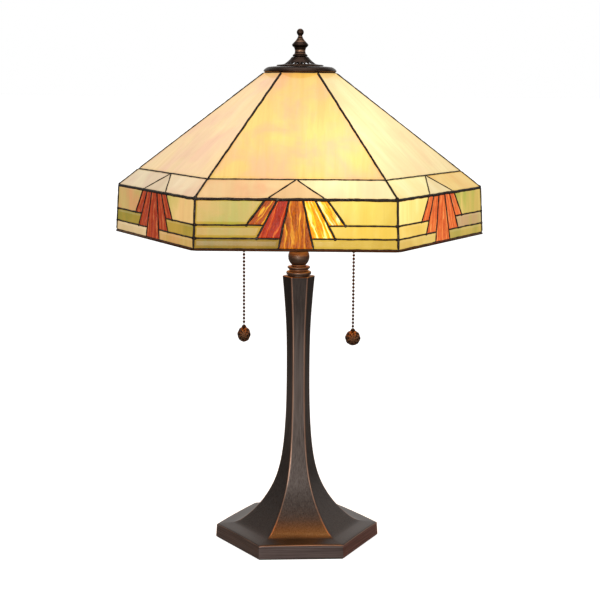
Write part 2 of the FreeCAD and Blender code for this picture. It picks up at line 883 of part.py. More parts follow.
# ---- Pull chains ----
def bead_string(top, count, link_top, link_bottom):
    """Beads on a link wire: one turned solid, the topmost bead centred at a height."""
    reach = math.sqrt(BEAD_RADIUS ** 2 - LINK_RADIUS ** 2)
    moves = [(LINK_RADIUS, link_top)]
    for number in range(count):
        centre = top - BEAD_PITCH * number
        moves.append((LINK_RADIUS, centre + reach))
        moves.append((BEAD_RADIUS, centre, LINK_RADIUS, centre - reach))
    moves.append((LINK_RADIUS, link_bottom))
    moves.append((0, link_bottom))
    return turned((0, link_top), *moves)


def hung(shape, side):
    """A piece of a pull chain, moved from the Z axis to its own side."""
    moved = shape.copy()
    moved.translate(V(CHAIN_X, 0, 0))
    return on_side(moved, side)


def switch_chain(side):
    """The switch's own short chain, inside the bell mouth."""
    return hung(bead_string(LIP_Z + 9.5, 3, LIP_Z + 11.2, SIDE_PIVOT_Z + 0.5), side)


def chain_coupling(side):
    """The little bell that joins the switch's chain to the long chain."""
    top = SIDE_PIVOT_Z - 0.1
    low = FORE_PIVOT_Z + 0.5
    return hung(
        turned(
            (0, top),
            (1.4, top - 0.7, 1.8, top - 2.0),
            (2.2, low + 2.0, 2.9, low + 0.6),
            (2.6, low),
            (0, low),
        ),
        side,
    )


def bead_chain(side):
    """The long bead chain, from the coupling to the pull ball."""
    top = FORE_PIVOT_Z - 0.1
    first = top - BEAD_RADIUS - 0.6
    bottom = PULL_Z[side] + PULL_RADIUS + 2.1
    count = 1 + int((first - BEAD_RADIUS - bottom) / BEAD_PITCH)
    return hung(bead_string(first, count, top, bottom), side)


def pull_ball(side):
    """The weighted ball at the end of a pull chain, with its collar."""
    collar = PULL_Z[side] + PULL_RADIUS + 2.0
    reach = math.sqrt(PULL_RADIUS ** 2 - 2.4 ** 2)
    ball = turned(
        (0, PULL_Z[side] - PULL_RADIUS),
        (PULL_RADIUS, PULL_Z[side], 2.4, PULL_Z[side] + reach),
        (2.4, collar - 0.5),
        (1.8, collar),
        (0, collar),
    )
    return hung(ball, side)


# ---- Writing the pieces ----
SINGLE_PIECES = (
    base_column,
    felt_pad,
    ballast_plate,
    rod_nut,
    rod_washer,
    centre_rod,
    column_collar,
    neck_spindle,
    cluster_body,
    flex_cable,
    flex_grommet,
    lead_wires,
    riser_rod,
    cap_seat,
    seat_nut,
    vase_cap,
    pierced_cap,
    finial,
    finial_insert,
    shade_leading,
    rim_wire,
    shade_top_ring,
)
PAIRED_PIECES = (
    socket_nipple,
    socket_cap,
    socket_shell,
    socket_liner,
    screw_shell,
    centre_contact,
    bell_mouth,
    bulb_cap,
    bulb_glass,
    bulb_stem,
    switch_chain,
    chain_coupling,
    bead_chain,
    pull_ball,
)


def write(name, shape):
    """Write one piece to its own file."""
    if not shape.isValid():
        print("not valid:", name)
    shape.exportStep("parts/" + name + ".step")


os.makedirs("parts", exist_ok=True)
for piece in SINGLE_PIECES:
    write(piece.__name__, piece())
for piece in PAIRED_PIECES:
    for side in ("left", "right"):
        write(side + "_" + piece.__name__, piece(side))
for name in PANES:
    write(name, glass(name))
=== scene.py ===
"""Looks of the stained glass table lamp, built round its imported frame. Metres, +Z up, -Y is the front."""
import json
import math
import random

import bmesh
import bpy
from mathutils import Matrix, Vector, noise


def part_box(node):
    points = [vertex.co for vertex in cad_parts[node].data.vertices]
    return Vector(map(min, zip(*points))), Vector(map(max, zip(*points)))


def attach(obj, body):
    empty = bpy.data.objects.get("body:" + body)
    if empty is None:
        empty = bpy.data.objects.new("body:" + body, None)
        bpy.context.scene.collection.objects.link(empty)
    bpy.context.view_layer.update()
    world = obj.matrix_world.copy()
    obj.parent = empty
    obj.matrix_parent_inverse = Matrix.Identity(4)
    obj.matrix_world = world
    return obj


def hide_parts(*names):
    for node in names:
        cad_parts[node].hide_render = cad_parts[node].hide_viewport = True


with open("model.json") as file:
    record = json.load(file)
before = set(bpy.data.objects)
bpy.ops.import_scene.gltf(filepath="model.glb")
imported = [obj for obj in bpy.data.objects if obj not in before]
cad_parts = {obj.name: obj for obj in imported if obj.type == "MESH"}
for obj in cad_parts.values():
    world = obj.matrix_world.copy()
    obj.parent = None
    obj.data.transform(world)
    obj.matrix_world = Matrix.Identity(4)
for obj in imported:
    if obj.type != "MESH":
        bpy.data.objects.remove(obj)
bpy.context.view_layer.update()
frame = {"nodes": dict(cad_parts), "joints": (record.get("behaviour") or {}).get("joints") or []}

MM = 0.001
UP = Vector((0, 0, 1))
FACES = 6
HALF_FACE = math.tan(math.radians(30))

# ---- The pattern of the shade, as fractions of half a face across and of a tier down ----
GABLE_FOOT = 0.285
RAY_TOPS = (0.065, 0.178, 0.292)
INNER_SEAM = 0.793
OUTER_SEAM = 0.532
CENTRE_RAY_FOOT = 0.171
INNER_RAY_FOOT = 0.382
OUTER_RAY_FOOT = 0.483

# ---- Widths of the solder lines, metres ----
SEAM_WIDTH = 2.6 * MM
RAY_WIDTH = 3.4 * MM
RIM_WIDTH = 3.3 * MM
EDGE_WIDTH = 2.2 * MM
HIP_WIDTHS = (3.7 * MM, 3.0 * MM)  # under the cap and at the bottom edge
GABLE_WIDTH = 2.6 * MM
LEAD_DEPTH = 4.4 * MM

# ---- The camera: where the picture was taken from ----
VIEW_TURN = 0.95  # degrees that the camera stands round from the front
VIEW_PLACE = Vector((1.6 * MM, -1524.7 * MM, 516.6 * MM))
VIEW_DOWN = 9.03
VIEW_ROLL = 0.377
VIEW_LENS = 82.93


# ======== Small tools ========
def linear(code):
    """A hexadecimal sRGB colour as linear red, green, blue and alpha."""
    values = [int(code[i : i + 2], 16) / 255 for i in (0, 2, 4)]
    return [v / 12.92 if v <= 0.04045 else ((v + 0.055) / 1.055) ** 2.4 for v in values] + [1.0]


def make_object(name, bm, material, body, *nodes):
    """A mesh object from a bmesh, smooth, riding on a body and standing for CAD nodes."""
    bmesh.ops.recalc_face_normals(bm, faces=bm.faces)
    mesh = bpy.data.meshes.new(name)
    bm.to_mesh(mesh)
    bm.free()
    mesh.shade_smooth()
    mesh.materials.append(material)
    piece = bpy.data.objects.new(name, mesh)
    bpy.context.scene.collection.objects.link(piece)
    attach(piece, body)
    if nodes:
        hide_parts(*nodes)
    return piece


def strip(bm, rings, closed=True):
    """Quads between successive rings of vertices."""
    for low, high in zip(rings, rings[1:]):
        count = len(low)
        for i in range(count if closed else count - 1):
            j = (i + 1) % count
            corners = [low[i], low[j], high[j], high[i]]
            corners = [v for k, v in enumerate(corners) if v is not corners[k - 1]]
            if len(corners) > 2:
                bm.faces.new(corners)


def filleted(points, steps=4):
    """An outline of (radius, height, fillet) corners in millimetres, with its corners rounded.

    Gives (radius, height, wear): wear is 1 on a corner that stands out, where a hand rubs the finish.
    """
    result = []
    for i, (r, z, size) in enumerate(points):
        here = Vector((r, z))
        if size == 0 or i in (0, len(points) - 1):
            result.append((r, z, 0.0))
            continue
        before = Vector(points[i - 1][:2]) - here
        after = Vector(points[i + 1][:2]) - here
        size = min(size, before.length * 0.48, after.length * 0.48)
        start = here + before.normalized() * size
        end = here + after.normalized() * size
        outward = before.x * after.y - before.y * after.x > 0
        for k in range(steps + 1):
            t = k / steps
            spot = start * (1 - t) ** 2 + here * 2 * t * (1 - t) + end * t**2
            result.append((spot.x, spot.y, math.sin(math.pi * t) if outward else 0.0))
    return result


def lathe(bm, outline, turns=96, place=Matrix.Identity(4)):
    """Turn an outline of (radius, height, wear), in millimetres, about Z."""
    wear = bm.verts.layers.float.get("wear") or bm.verts.layers.float.new("wear")
    rings = []
    for r, z, rub in outline:
        ring = []
        if r < 1e-6:
            ring = [bm.verts.new(place @ Vector((0, 0, z * MM)))] * turns
            ring[0][wear] = rub
        else:
            for k in range(turns):
                angle = 2 * math.pi * k / turns
                spot = Vector((r * math.cos(angle), r * math.sin(angle), z)) * MM
                ring.append(bm.verts.new(place @ spot))
                ring[-1][wear] = rub
        rings.append(ring)
    strip(bm, rings)


def ball(bm, centre, radius, turns=20, rings=12, squash=(1, 1, 1)):
    """A smooth ball in metres, or an ellipsoid."""
    place = Matrix.Translation(centre) @ Matrix.Diagonal((*squash, 1))
    outline = []
    for k in range(rings + 1):
        angle = math.pi * k / rings - math.pi / 2
        outline.append((abs(math.cos(angle)) * radius / MM, math.sin(angle) * radius / MM, 0.0))
    outline[0] = (0.0, outline[0][1], 0.0)
    outline[-1] = (0.0, outline[-1][1], 0.0)
    lathe(bm, outline, turns, place)


# ======== Materials ========
class Look:
    """A material and short calls for the nodes that the materials share."""

    def __init__(self, name):
        self.material = bpy.data.materials.new(name)
        self.material.use_nodes = True
        self.tree = self.material.node_tree
        self.shader = self.tree.nodes["Principled BSDF"]
        self.spot = self.tree.nodes.new("ShaderNodeNewGeometry")
        self.object_spot = self.tree.nodes.new("ShaderNodeTexCoord").outputs["Object"]

    def feed(self, socket, value):
        if isinstance(value, bpy.types.NodeSocket):
            self.tree.links.new(value, socket)
        else:
            socket.default_value = value

    def node(self, kind, inputs, **settings):
        made = self.tree.nodes.new(kind)
        for key, value in settings.items():
            setattr(made, key, value)
        for key, value in inputs.items():
            self.feed(made.inputs[key], value)
        return made

    def set(self, **inputs):
        """Feed the shader: underscores in a name stand for spaces."""
        for key, value in inputs.items():
            self.feed(self.shader.inputs[key.replace("_", " ")], value)

    def math(self, operation, a, b=0.0, clamp=False):
        return self.node("ShaderNodeMath", {0: a, 1: b}, operation=operation, use_clamp=clamp).outputs[0]

    def vector(self, operation, a, b=(0, 0, 0)):
        return self.node("ShaderNodeVectorMath", {0: a, 1: b}, operation=operation).outputs["Vector"]

    def measure(self, operation, a, b=(0, 0, 0)):
        return self.node("ShaderNodeVectorMath", {0: a, 1: b}, operation=operation).outputs["Value"]

    def attribute(self, name, output="Vector"):
        made = self.tree.nodes.new("ShaderNodeAttribute")
        made.attribute_name = name
        return made.outputs[output]

    def noise(self, where, scale, detail=3.0, rough=0.5, distortion=0.0):
        made = self.node(
            "ShaderNodeTexNoise",
            {"Vector": where, "Scale": scale, "Detail": detail, "Roughness": rough, "Distortion": distortion},
        )
        return made.outputs["Fac"]

    def stretched(self, where, factors):
        return self.vector("MULTIPLY", where, factors)

    def ramp(self, factor, *stops):
        """A colour ramp of (position, colour) stops."""
        made = self.node("ShaderNodeValToRGB", {"Fac": factor})
        elements = made.color_ramp.elements
        while len(elements) < len(stops):
            elements.new(1.0)
        for element, (position, colour) in zip(elements, stops):
            element.position = position
            element.color = colour if len(colour) == 4 else (*colour, 1)
        return made.outputs["Color"]

    def level(self, factor, low, high, to_low=0.0, to_high=1.0):
        """A clamped remap of a value."""
        made = self.node(
            "ShaderNodeMapRange",
            {"Value": factor, "From Min": low, "From Max": high, "To Min": to_low, "To Max": to_high},
        )
        return made.outputs["Result"]

    def mix(self, factor, a, b, blend="MIX"):
        made = self.tree.nodes.new("ShaderNodeMix")
        made.data_type = "RGBA"
        made.blend_type = blend
        self.feed(made.inputs[0], factor)
        self.feed(made.inputs[6], a)
        self.feed(made.inputs[7], b)
        return made.outputs[2]

    def scale(self, colour, factor):
        made = self.node("ShaderNodeVectorMath", {0: colour, "Scale": factor}, operation="SCALE")
        return made.outputs["Vector"]

    def bump(self, height, strength, distance):
        made = self.node("ShaderNodeBump", {"Height": height, "Strength": strength, "Distance": distance})
        self.set(Normal=made.outputs["Normal"])


def bronze(name, brush=(60, 60, 4), shade="4A3B32", sheen="6E5B4E", under=1.0):
    """Dark satin bronze, brushed one way, with copper where it is rubbed; under darkens what faces down, as
    painted shade on the undersides.
    """
    look = Look(name)
    facing = look.node("ShaderNodeSeparateXYZ", {0: look.spot.outputs["True Normal"]})
    brushed = look.noise(look.stretched(look.object_spot, brush), 14, 4, 0.6)
    cloud = look.noise(look.object_spot, 30, 3)
    rub = look.attribute("wear", "Fac")
    ragged = look.math("MULTIPLY", rub, look.level(cloud, 0.25, 0.6, 0.55, 1.15))
    copper = look.level(ragged, 0.25, 0.95)
    dark = look.mix(look.level(brushed, 0.3, 0.7), linear(shade), linear(sheen))
    base = look.mix(copper, dark, linear("A07A60"))
    # Painted shade: the colour is scaled by under where the surface faces down.
    base = look.scale(base, look.level(facing.outputs[2], 0.0, -0.35, 1.0, under))
    look.set(Base_Color=base, Metallic=0.85)
    look.set(Roughness=look.level(brushed, 0.2, 0.8, 0.30, 0.44))
    look.bump(brushed, 0.12, 0.0004)
    return look.material


def solder():
    """Patinated solder: nearly black, with worn grey crests and a beady surface."""
    look = Look("patinated_solder")
    lumps = look.noise(look.object_spot, 420, 3, 0.6)
    cloud = look.noise(look.object_spot, 60, 2)
    worn = look.math("MULTIPLY", look.level(lumps, 0.52, 0.75), look.level(cloud, 0.4, 0.65))
    look.set(Base_Color=look.mix(worn, linear("2A1F18"), linear("7C7468")), Metallic=0.7)
    look.set(Roughness=look.level(lumps, 0.3, 0.7, 0.38, 0.6))
    look.bump(lumps, 0.5, 0.0006)
    return look.material


def plain_metal(name, colour, rough, grain=300, metallic=1.0, spread=0.35):
    """Bare metal with fine tool marks and slight tarnish."""
    look = Look(name)
    marks = look.noise(look.stretched(look.object_spot, (1, 1, 0.15)), grain, 3, 0.6)
    tarnish = look.noise(look.object_spot, 45, 3)
    base = look.mix(look.level(tarnish, 0.35, 0.7, 0, spread), linear(colour), linear("3A2A18"))
    look.set(Base_Color=base, Metallic=metallic)
    look.set(Roughness=look.level(marks, 0.2, 0.8, rough, rough + 0.18))
    look.bump(marks, 0.15, 0.0003)
    return look.material


def etched_bronze():
    """The pull balls' bronze: dark in the cut lines, rubbed on the crests."""
    look = Look("etched_bronze")
    rub = look.attribute("wear", "Fac")
    grain = look.noise(look.object_spot, 700, 3, 0.65)
    crest = look.math("MULTIPLY", rub, look.level(grain, 0.3, 0.6, 0.5, 1.1))
    look.set(Base_Color=look.mix(crest, linear("241A14"), linear("8A6040")), Metallic=0.85)
    look.set(Roughness=look.level(grain, 0.3, 0.7, 0.34, 0.55))
    look.bump(grain, 0.35, 0.0004)
    return look.material


def matt(name, colour, other, scale, rough, bump, distance):
    """A dull surface of two mottled colours: felt, iron, moulded parts and cable."""
    look = Look(name)
    mottle = look.noise(look.object_spot, scale, 4, 0.65)
    look.set(Base_Color=look.mix(look.level(mottle, 0.3, 0.7), linear(colour), linear(other)))
    look.set(Roughness=rough)
    look.bump(mottle, bump, distance)
    return look.material


GLOW_REST = 0.68
INNER_GLOW = 2.6
INNER_WARMTH = (1.0, 0.58, 0.2)
OPAL_WARMTH = (1.03, 0.96, 0.72)
RAY_WARMTH = (1.0, 0.9, 0.6)
LAMPS = (  # centres of the two globes, how brightly each shows through the glass, and how widely
    (Vector((0.051, -0.004, 0.446)), 0.72, 0.052),
    (Vector((-0.051, 0.004, 0.446)), 0.2, 0.06),
)


def lamp_glow(look):
    """How brightly the glass shines where it is looked at: most where a globe stands behind it.

    What it throws on the metal below counts for more, since the lamps light its inner side directly.
    """
    total = GLOW_REST
    toward = look.spot.outputs["Incoming"]
    for centre, peak, spread in LAMPS:
        away = look.vector("SUBTRACT", look.spot.outputs["Position"], centre)
        miss = look.measure("LENGTH", look.vector("CROSS_PRODUCT", away, toward))
        fade = look.math("ADD", look.math("MULTIPLY", miss, miss), spread**2)
        total = look.math("ADD", total, look.math("DIVIDE", peak * spread**2, fade))
    seen = look.node("ShaderNodeLightPath", {}).outputs["Is Camera Ray"]
    return look.math("MULTIPLY", total, look.level(seen, 0, 1, INNER_GLOW, 1.0))


def lit_tint(look, tint, warmth):
    """A pane's colour with warm light behind it, and warmer still in what it throws on the metal."""
    seen = look.node("ShaderNodeLightPath", {}).outputs["Is Camera Ray"]
    inside = look.vector("MULTIPLY", tint, INNER_WARMTH)
    return look.mix(seen, inside, look.vector("MULTIPLY", tint, warmth))


def opal_glass():
    """Streaky opalescent sheet glass, lit from behind, with painted shade just under the cap. Each pane brings
    its own three tints.
    """
    look = Look("opal_glass")
    pane = look.attribute("pane")
    wide = look.noise(look.stretched(pane, (38, 5, 1)), 1.0, 3, 0.55, 0.4)
    fine = look.noise(look.stretched(pane, (150, 9, 1)), 1.0, 4, 0.6, 0.6)
    cloud = look.noise(look.stretched(pane, (26, 20, 1)), 1.0, 3, 0.5, 0.5)
    first = look.level(look.math("ADD", wide, look.math("MULTIPLY", fine, 0.35)), 0.52, 0.82)
    second = look.level(look.math("ADD", cloud, look.math("MULTIPLY", fine, 0.3)), 0.58, 0.84)
    tint = look.mix(first, look.attribute("tint_a", "Color"), look.attribute("tint_b", "Color"))
    tint = look.mix(second, tint, look.attribute("tint_c", "Color"))
    height = look.node("ShaderNodeSeparateXYZ", {0: look.object_spot}).outputs[2]
    # Painted shade under the cap: the tint turns darker and yellower just below it.
    cap_shade_painted = look.level(height, 0.5165, 0.5225, 0.0, 0.7)
    tint = look.mix(cap_shade_painted, tint, look.vector("MULTIPLY", tint, (0.98, 0.82, 0.5)))
    power = look.math("MULTIPLY", lamp_glow(look), look.attribute("power", "Fac"))
    milk = look.level(fine, 0.3, 0.7, 0.94, 1.06)
    look.set(Base_Color=look.scale(tint, 0.12), Roughness=0.16, Specular_IOR_Level=0.25)
    look.set(Emission_Color=lit_tint(look, tint, OPAL_WARMTH))
    look.set(Emission_Strength=look.math("MULTIPLY", power, milk))
    look.set(Coat_Weight=0.12, Coat_Roughness=0.06)
    ripple = look.noise(look.stretched(pane, (60, 40, 1)), 1.0, 3, 0.5)
    look.bump(ripple, 0.25, 0.0012)
    return look.material


def ray_glass():
    """Textured cathedral glass of the rays, with wavy bright lines like wood grain."""
    look = Look("ray_glass")
    pane = look.attribute("pane")
    sway = look.noise(look.stretched(pane, (95, 24, 1)), 1.0, 3, 0.55)
    split = look.node("ShaderNodeSeparateXYZ", {0: pane})
    phase = look.math("ADD", look.math("MULTIPLY", split.outputs[0], 900), look.math("MULTIPLY", sway, 19))
    wave = look.math("SINE", phase)
    vein = look.level(wave, 0.62, 0.98)
    grain = look.noise(look.stretched(pane, (620, 50, 1)), 1.0, 4, 0.6)
    speck = look.noise(look.stretched(pane, (900, 420, 1)), 1.0, 3, 0.7)
    cloud = look.noise(look.stretched(pane, (110, 40, 1)), 1.0, 3, 0.6)
    dark = look.math("MAXIMUM", look.level(wave, -0.3, -0.95, 0.0, 0.8), look.level(grain, 0.47, 0.62))
    shade = look.math("MULTIPLY", dark, look.level(speck, 0.35, 0.6, 0.35, 1.0))
    tint = look.mix(shade, look.attribute("tint_a", "Color"), look.attribute("tint_b", "Color"))
    light = look.math("MULTIPLY", vein, look.level(cloud, 0.36, 0.58, 0.1, 1.0))
    light = look.math("MAXIMUM", light, look.level(grain, 0.44, 0.3, 0.0, 0.45))
    tint = look.mix(light, tint, look.attribute("tint_c", "Color"))
    power = look.math("MULTIPLY", lamp_glow(look), look.attribute("power", "Fac"))
    look.set(Base_Color=look.scale(tint, 0.12), Roughness=0.14, Specular_IOR_Level=0.12)
    look.set(Emission_Color=lit_tint(look, tint, RAY_WARMTH), Emission_Strength=power)
    look.set(Coat_Weight=0.05, Coat_Roughness=0.05)
    look.bump(look.math("ADD", wave, speck), 0.5, 0.0005)
    return look.material


def bulb_glass():
    """The frosted bulbs, glowing warm."""
    look = Look("bulb_glass")
    frost = look.noise(look.object_spot, 900, 2)
    facing = look.node("ShaderNodeLayerWeight", {"Blend": 0.35}).outputs["Facing"]
    look.set(Base_Color=linear("FFF4DC"), Roughness=look.level(frost, 0.3, 0.7, 0.3, 0.5))
    seen = look.node("ShaderNodeLightPath", {}).outputs["Is Camera Ray"]
    look.set(Emission_Color=look.mix(facing, linear("FFF0C8"), linear("FFC46A")))
    look.set(Emission_Strength=look.level(seen, 0, 1, 12, 3.5))
    return look.material


# ======== The panes ========
# Tints of each pane: two streak colours, a cloud colour and a brightness, by face (0 front, 1 right of it
# and so on round) and then for the left and the right pane of a pair.
# The brightness is partly the glass's own density and partly painted light: it is higher on the panes nearest
# the brighter, right-hand globe.
PALETTES = {
    "upper_panel_glass": (
        (("FACC80", "FFDE8A", "F8C298", 0.97),),
        (("FCE6B8", "FFEFC4", "FBDCB4", 0.97),),
        (("FCE0B4", "FFE9BE", "FAD2AE", 0.95),),
        (("FBCF8E", "FFDC98", "F8C8A0", 1.0),),
        (("FADDB4", "FCE6BE", "F7CFB4", 0.9),),
        (("FADAB4", "FBE2BC", "F6CDB8", 1.0),),
    ),
    "gable_glass": (
        (("EDC694", "F0D2A4", "E8BE90", 0.95),),
        (("F8E4B4", "FBEBC4", "F3D8A8", 0.95),),
        (("F3D8B0", "F6E2C0", "EED0A8", 0.9),),
        (("F1D6B4", "F4E0C0", "EBCDB0", 0.9),),
        (("EFDCC4", "F3E2CC", "E8D0BC", 0.9),),
        (("EFDCC4", "F3E2CC", "E8D0BC", 0.9),),
    ),
    "shoulder_glass": (
        (("F3C898", "F6D6A8", "EEB48C", 0.97), ("F4E2B4", "F6ECC4", "F2D8B2", 1.05)),
        (("FAEEB4", "FCF4C8", "F6E2A8", 1.05), ("F8D78A", "FBE3A0", "F2C478", 0.98)),
        (("F6D8A4", "F9E3B8", "F0C998", 0.95), ("F2D2B0", "F6DEC0", "E8C0A0", 0.9)),
        (("F3C898", "F6D6A8", "EEB48C", 0.9), ("F5D29C", "F8E2AE", "F1C39A", 0.95)),
        (("EFDEC8", "F3E4CF", "E6CCBC", 0.9), ("F2D8BE", "F5E2CC", "EAC4B0", 0.9)),
        (("EFDEC8", "F3E4CF", "E6CCBC", 0.98), ("F2D8BE", "F5E2CC", "EAC4B0", 1.02)),
    ),
    "top_band_glass": (
        (("D4B452", "B8B64E", "E0B260", 0.98), ("F6D868", "FBE47E", "ECC860", 1.02)),
        (("F8E08E", "FBEAA8", "F4D680", 1.3), ("E2C678", "B8BE60", "F2D488", 1.1)),
        (("E8CC7C", "C8C878", "F0C89C", 0.9), ("B8C070", "F0D8A4", "E4B898", 0.9)),
        (("C8BC70", "B4C068", "E6C084", 0.9), ("E8C870", "F2D684", "D8B868", 0.9)),
        (("F0CCAC", "C0C880", "E8B498", 0.85), ("C4C478", "F2DCB8", "E8C4A0", 0.85)),
        (("EAC890", "C4BC74", "E4AC80", 0.98), ("F6CC94", "F8D69C", "C8C068", 1.02)),
    ),
    "middle_band_glass": (
        (("D0AA46", "DCB252", "C0AC4A", 0.94), ("F2CE5C", "F8DA72", "E8C45A", 1.15)),
        (("F6D67A", "FAE292", "EECC70", 1.2), ("E8BE9C", "D8C684", "F0D4B4", 0.9)),
        (("E0C46C", "C4BC5C", "ECD084", 0.9), ("BCB85C", "D8C46C", "A8B458", 0.9)),
        (("C6B254", "D8BA60", "B8B458", 0.9), ("E0C060", "ECCC70", "D0B458", 0.9)),
        (("C8B860", "B0B458", "D8C478", 0.9), ("BEB65E", "D4C070", "ACB258", 0.9)),
        (("BC9E40", "C8A84A", "A49A42", 0.9), ("C8A646", "D4B458", "B4A246", 0.9)),
    ),
    "lower_band_glass": (
        (("B0903C", "C09C4C", "989858", 0.82), ("E8C454", "F0D068", "DCB850", 0.95)),
        (("F2D27C", "F7DE90", "E8C674", 1.05), ("D0BA66", "E0C678", "B4AE58", 1.05)),
        (("D8C070", "B8BC64", "E8C890", 0.9), ("D8B48C", "C4BC78", "E4C8A8", 0.9)),
        (("C4B058", "D4BC68", "A8BC6C", 0.9), ("D8B858", "E4C870", "C8B050", 0.9)),
        (("D8C8B0", "C8C090", "E4CCB8", 0.85), ("D4AC84", "C8C080", "E0C0A0", 0.85)),
        (("E4CAAC", "EAD0B4", "D4BE98", 1.12), ("E0A872", "D2B86C", "E6B888", 1.0)),
    ),
}
# The ray brightness is partly the glass and partly painted light: the front face's right-hand rays, nearest the
# brighter globe, are brightest.
RAY_PALETTES = {  # base, shadow and vein colours, and brightness, from the outer left ray to the outer right
    "front": (
        ("D26408", "983A06", "FFC030", 0.96),
        ("C83204", "902004", "F47C30", 1.03),
        ("D06C0C", "843808", "FFBC38", 1.08),
        ("FFBC0C", "E86C08", "FFFFB0", 1.55),
        ("F8B420", "D06408", "FFFFD8", 1.6),
    ),
    "red": (("BE4A30", "962C1C", "D87850", 1.0),) * 5,
    "salmon": (("E07040", "BC4C2C", "F4A068", 1.42),) * 5,
    "amber": (("D87828", "A04818", "FFC870", 1.0),) * 5,
}
RAYS_BY_FACE = ("front", "salmon", "amber", "salmon", "red", "red")
RAY_NODES = {"centre_ray_glass": (2, 2), "inner_ray_glass": (1, 3), "outer_ray_glass": (0, 4)}


def islands(node):
    """The separate closed solids in a CAD node's mesh, as lists of (point, triangle normals)."""
    bm = bmesh.new()
    bm.from_mesh(frame["nodes"][node].data)
    bmesh.ops.remove_doubles(bm, verts=bm.verts, dist=1e-6)
    bm.verts.index_update()
    bm.faces.index_update()
    left = set(bm.verts)
    found = []
    for first in bm.verts:
        if first not in left:
            continue
        left.discard(first)
        edge_of_island = [first]
        island = set(edge_of_island)
        while edge_of_island:
            vertex = edge_of_island.pop()
            for edge in vertex.link_edges:
                other = edge.other_vert(vertex)
                if other in left:
                    left.discard(other)
                    island.add(other)
                    edge_of_island.append(other)
        points = [v.co.copy() for v in sorted(island, key=lambda v: v.index)]
        faces = sorted({f for v in island for f in v.link_faces}, key=lambda f: f.index)
        found.append((points, [(f.normal.copy(), f.calc_area()) for f in faces]))
    bm.free()
    return found


class Pane:
    """One flat pane: its outer corners in order, its directions, its face of the shade and its thickness."""

    def __init__(self, points, triangles):
        areas = {}
        for normal, area in triangles:
            key = tuple(round(c, 2) for c in normal)
            areas[key] = (areas.get(key, (0, None))[0] + area, normal)
        centre = sum(points, Vector()) / len(points)
        broad = sorted(areas.values(), key=lambda item: -item[0])[:2]
        outward = Vector((centre.x, centre.y, 0))
        self.normal = max(broad, key=lambda item: item[1].dot(outward))[1].normalized()
        turn = math.degrees(math.atan2(self.normal.y, self.normal.x)) + 90
        self.face = round(turn / 60) % FACES
        self.across = UP.cross(self.normal).normalized()
        self.down = self.across.cross(self.normal).normalized()
        heights = [p.dot(self.normal) for p in points]
        self.thick = max(heights) - min(heights)
        outer = [p for p, h in zip(points, heights) if h > max(heights) - 0.1 * MM]
        drops = [p.dot(self.down) for p in outer]
        middle = (max(drops) + min(drops)) / 2
        top = sorted((p for p, d in zip(outer, drops) if d < middle), key=lambda p: p.dot(self.across))
        bottom = sorted((p for p, d in zip(outer, drops) if d > middle), key=lambda p: p.dot(self.across))
        self.corners = (top[0], top[-1], bottom[-1], bottom[0])
        self.centre = sum(self.corners, Vector()) / 4
        self.on_right = self.centre.dot(self.across) > 0

    def lean(self):
        """The direction along the pane from the middle of its top to the middle of its foot."""
        a, b, c, d = self.corners
        return ((c + d) / 2 - (a + b) / 2).normalized()


def draw_pane(bm, pane, cell, ripple, tints, seed, along_ray):
    """A rippled plate between its corners, held inside the planes where the faces meet."""
    layers = bm.verts.layers
    where = layers.float_vector.get("pane") or layers.float_vector.new("pane")
    power = layers.float.get("power") or layers.float.new("power")
    names = ("tint_a", "tint_b", "tint_c")
    colours = [layers.float_color.get(n) or layers.float_color.new(n) for n in names]
    down = pane.lean() if along_ray else pane.down
    across = down.cross(pane.normal)
    a, b, c, d = pane.corners
    columns = max(3, round(max((b - a).length, (c - d).length) / cell))
    rows = max(3, round((d - a).length / cell))
    hips = []
    for side in (-1, 1):
        corner = math.radians(-90 + 60 * pane.face + 30 * side)
        inward = Vector((math.sin(corner), -math.cos(corner), 0)) * side
        hips.append(inward)
    sheets = []
    for depth in (0.0, pane.thick):
        sheet = []
        for j in range(rows + 1):
            row = []
            for i in range(columns + 1):
                s, t = i / columns, j / rows
                spot = (a * (1 - s) + b * s) * (1 - t) + (d * (1 - s) + c * s) * t
                local = Vector((spot.dot(across), spot.dot(down), seed))
                wave = noise.noise(local * 55) + 0.5 * noise.noise(local * 170)
                edge = min(s, 1 - s, t, 1 - t)
                lift = ripple * wave * min(1.0, edge * 8)
                spot = spot - pane.normal * (depth - lift if depth == 0 else depth + lift)
                for inward in hips:
                    short = 0.6 * MM - spot.dot(inward)
                    if short > 0:
                        spot = spot + pane.across * (short / pane.across.dot(inward))
                vertex = bm.verts.new(spot)
                vertex[where] = local
                vertex[power] = tints[3]
                for layer, code in zip(colours, tints):
                    vertex[layer] = linear(code)
                row.append(vertex)
            sheet.append(row)
        sheets.append(sheet)
    for sheet in sheets:
        strip(bm, sheet, closed=False)
    rims = []
    for sheet in sheets:
        rim = sheet[0] + [row[-1] for row in sheet[1:-1]] + sheet[-1][::-1] + [r[0] for r in sheet[-2:0:-1]]
        rims.append(rim)
    strip(bm, rims)


def glass_pieces():
    """Every glass node's panes, redrawn with ripples and streak tints."""
    opal = opal_glass()
    rays = ray_glass()
    chance = random.Random(7)
    for node in [*PALETTES, *RAY_NODES]:
        bm = bmesh.new()
        for points, triangles in islands(node):
            pane = Pane(points, triangles)
            seed = 10 * chance.random()
            if node in PALETTES:
                choices = PALETTES[node][pane.face]
                tints = choices[-1 if pane.on_right else 0]
                cell = 4 * MM if node == "upper_panel_glass" else 3 * MM
                draw_pane(bm, pane, cell, 0.10 * MM, tints, seed, False)
            else:
                number = RAY_NODES[node][1 if pane.on_right else 0]
                tints = RAY_PALETTES[RAYS_BY_FACE[pane.face]][number]
                draw_pane(bm, pane, 1.5 * MM, 0.22 * MM, tints, seed, True)
        look = opal if node in PALETTES else rays
        make_object(node.replace("_glass", "_panes"), bm, look, "shade", node)


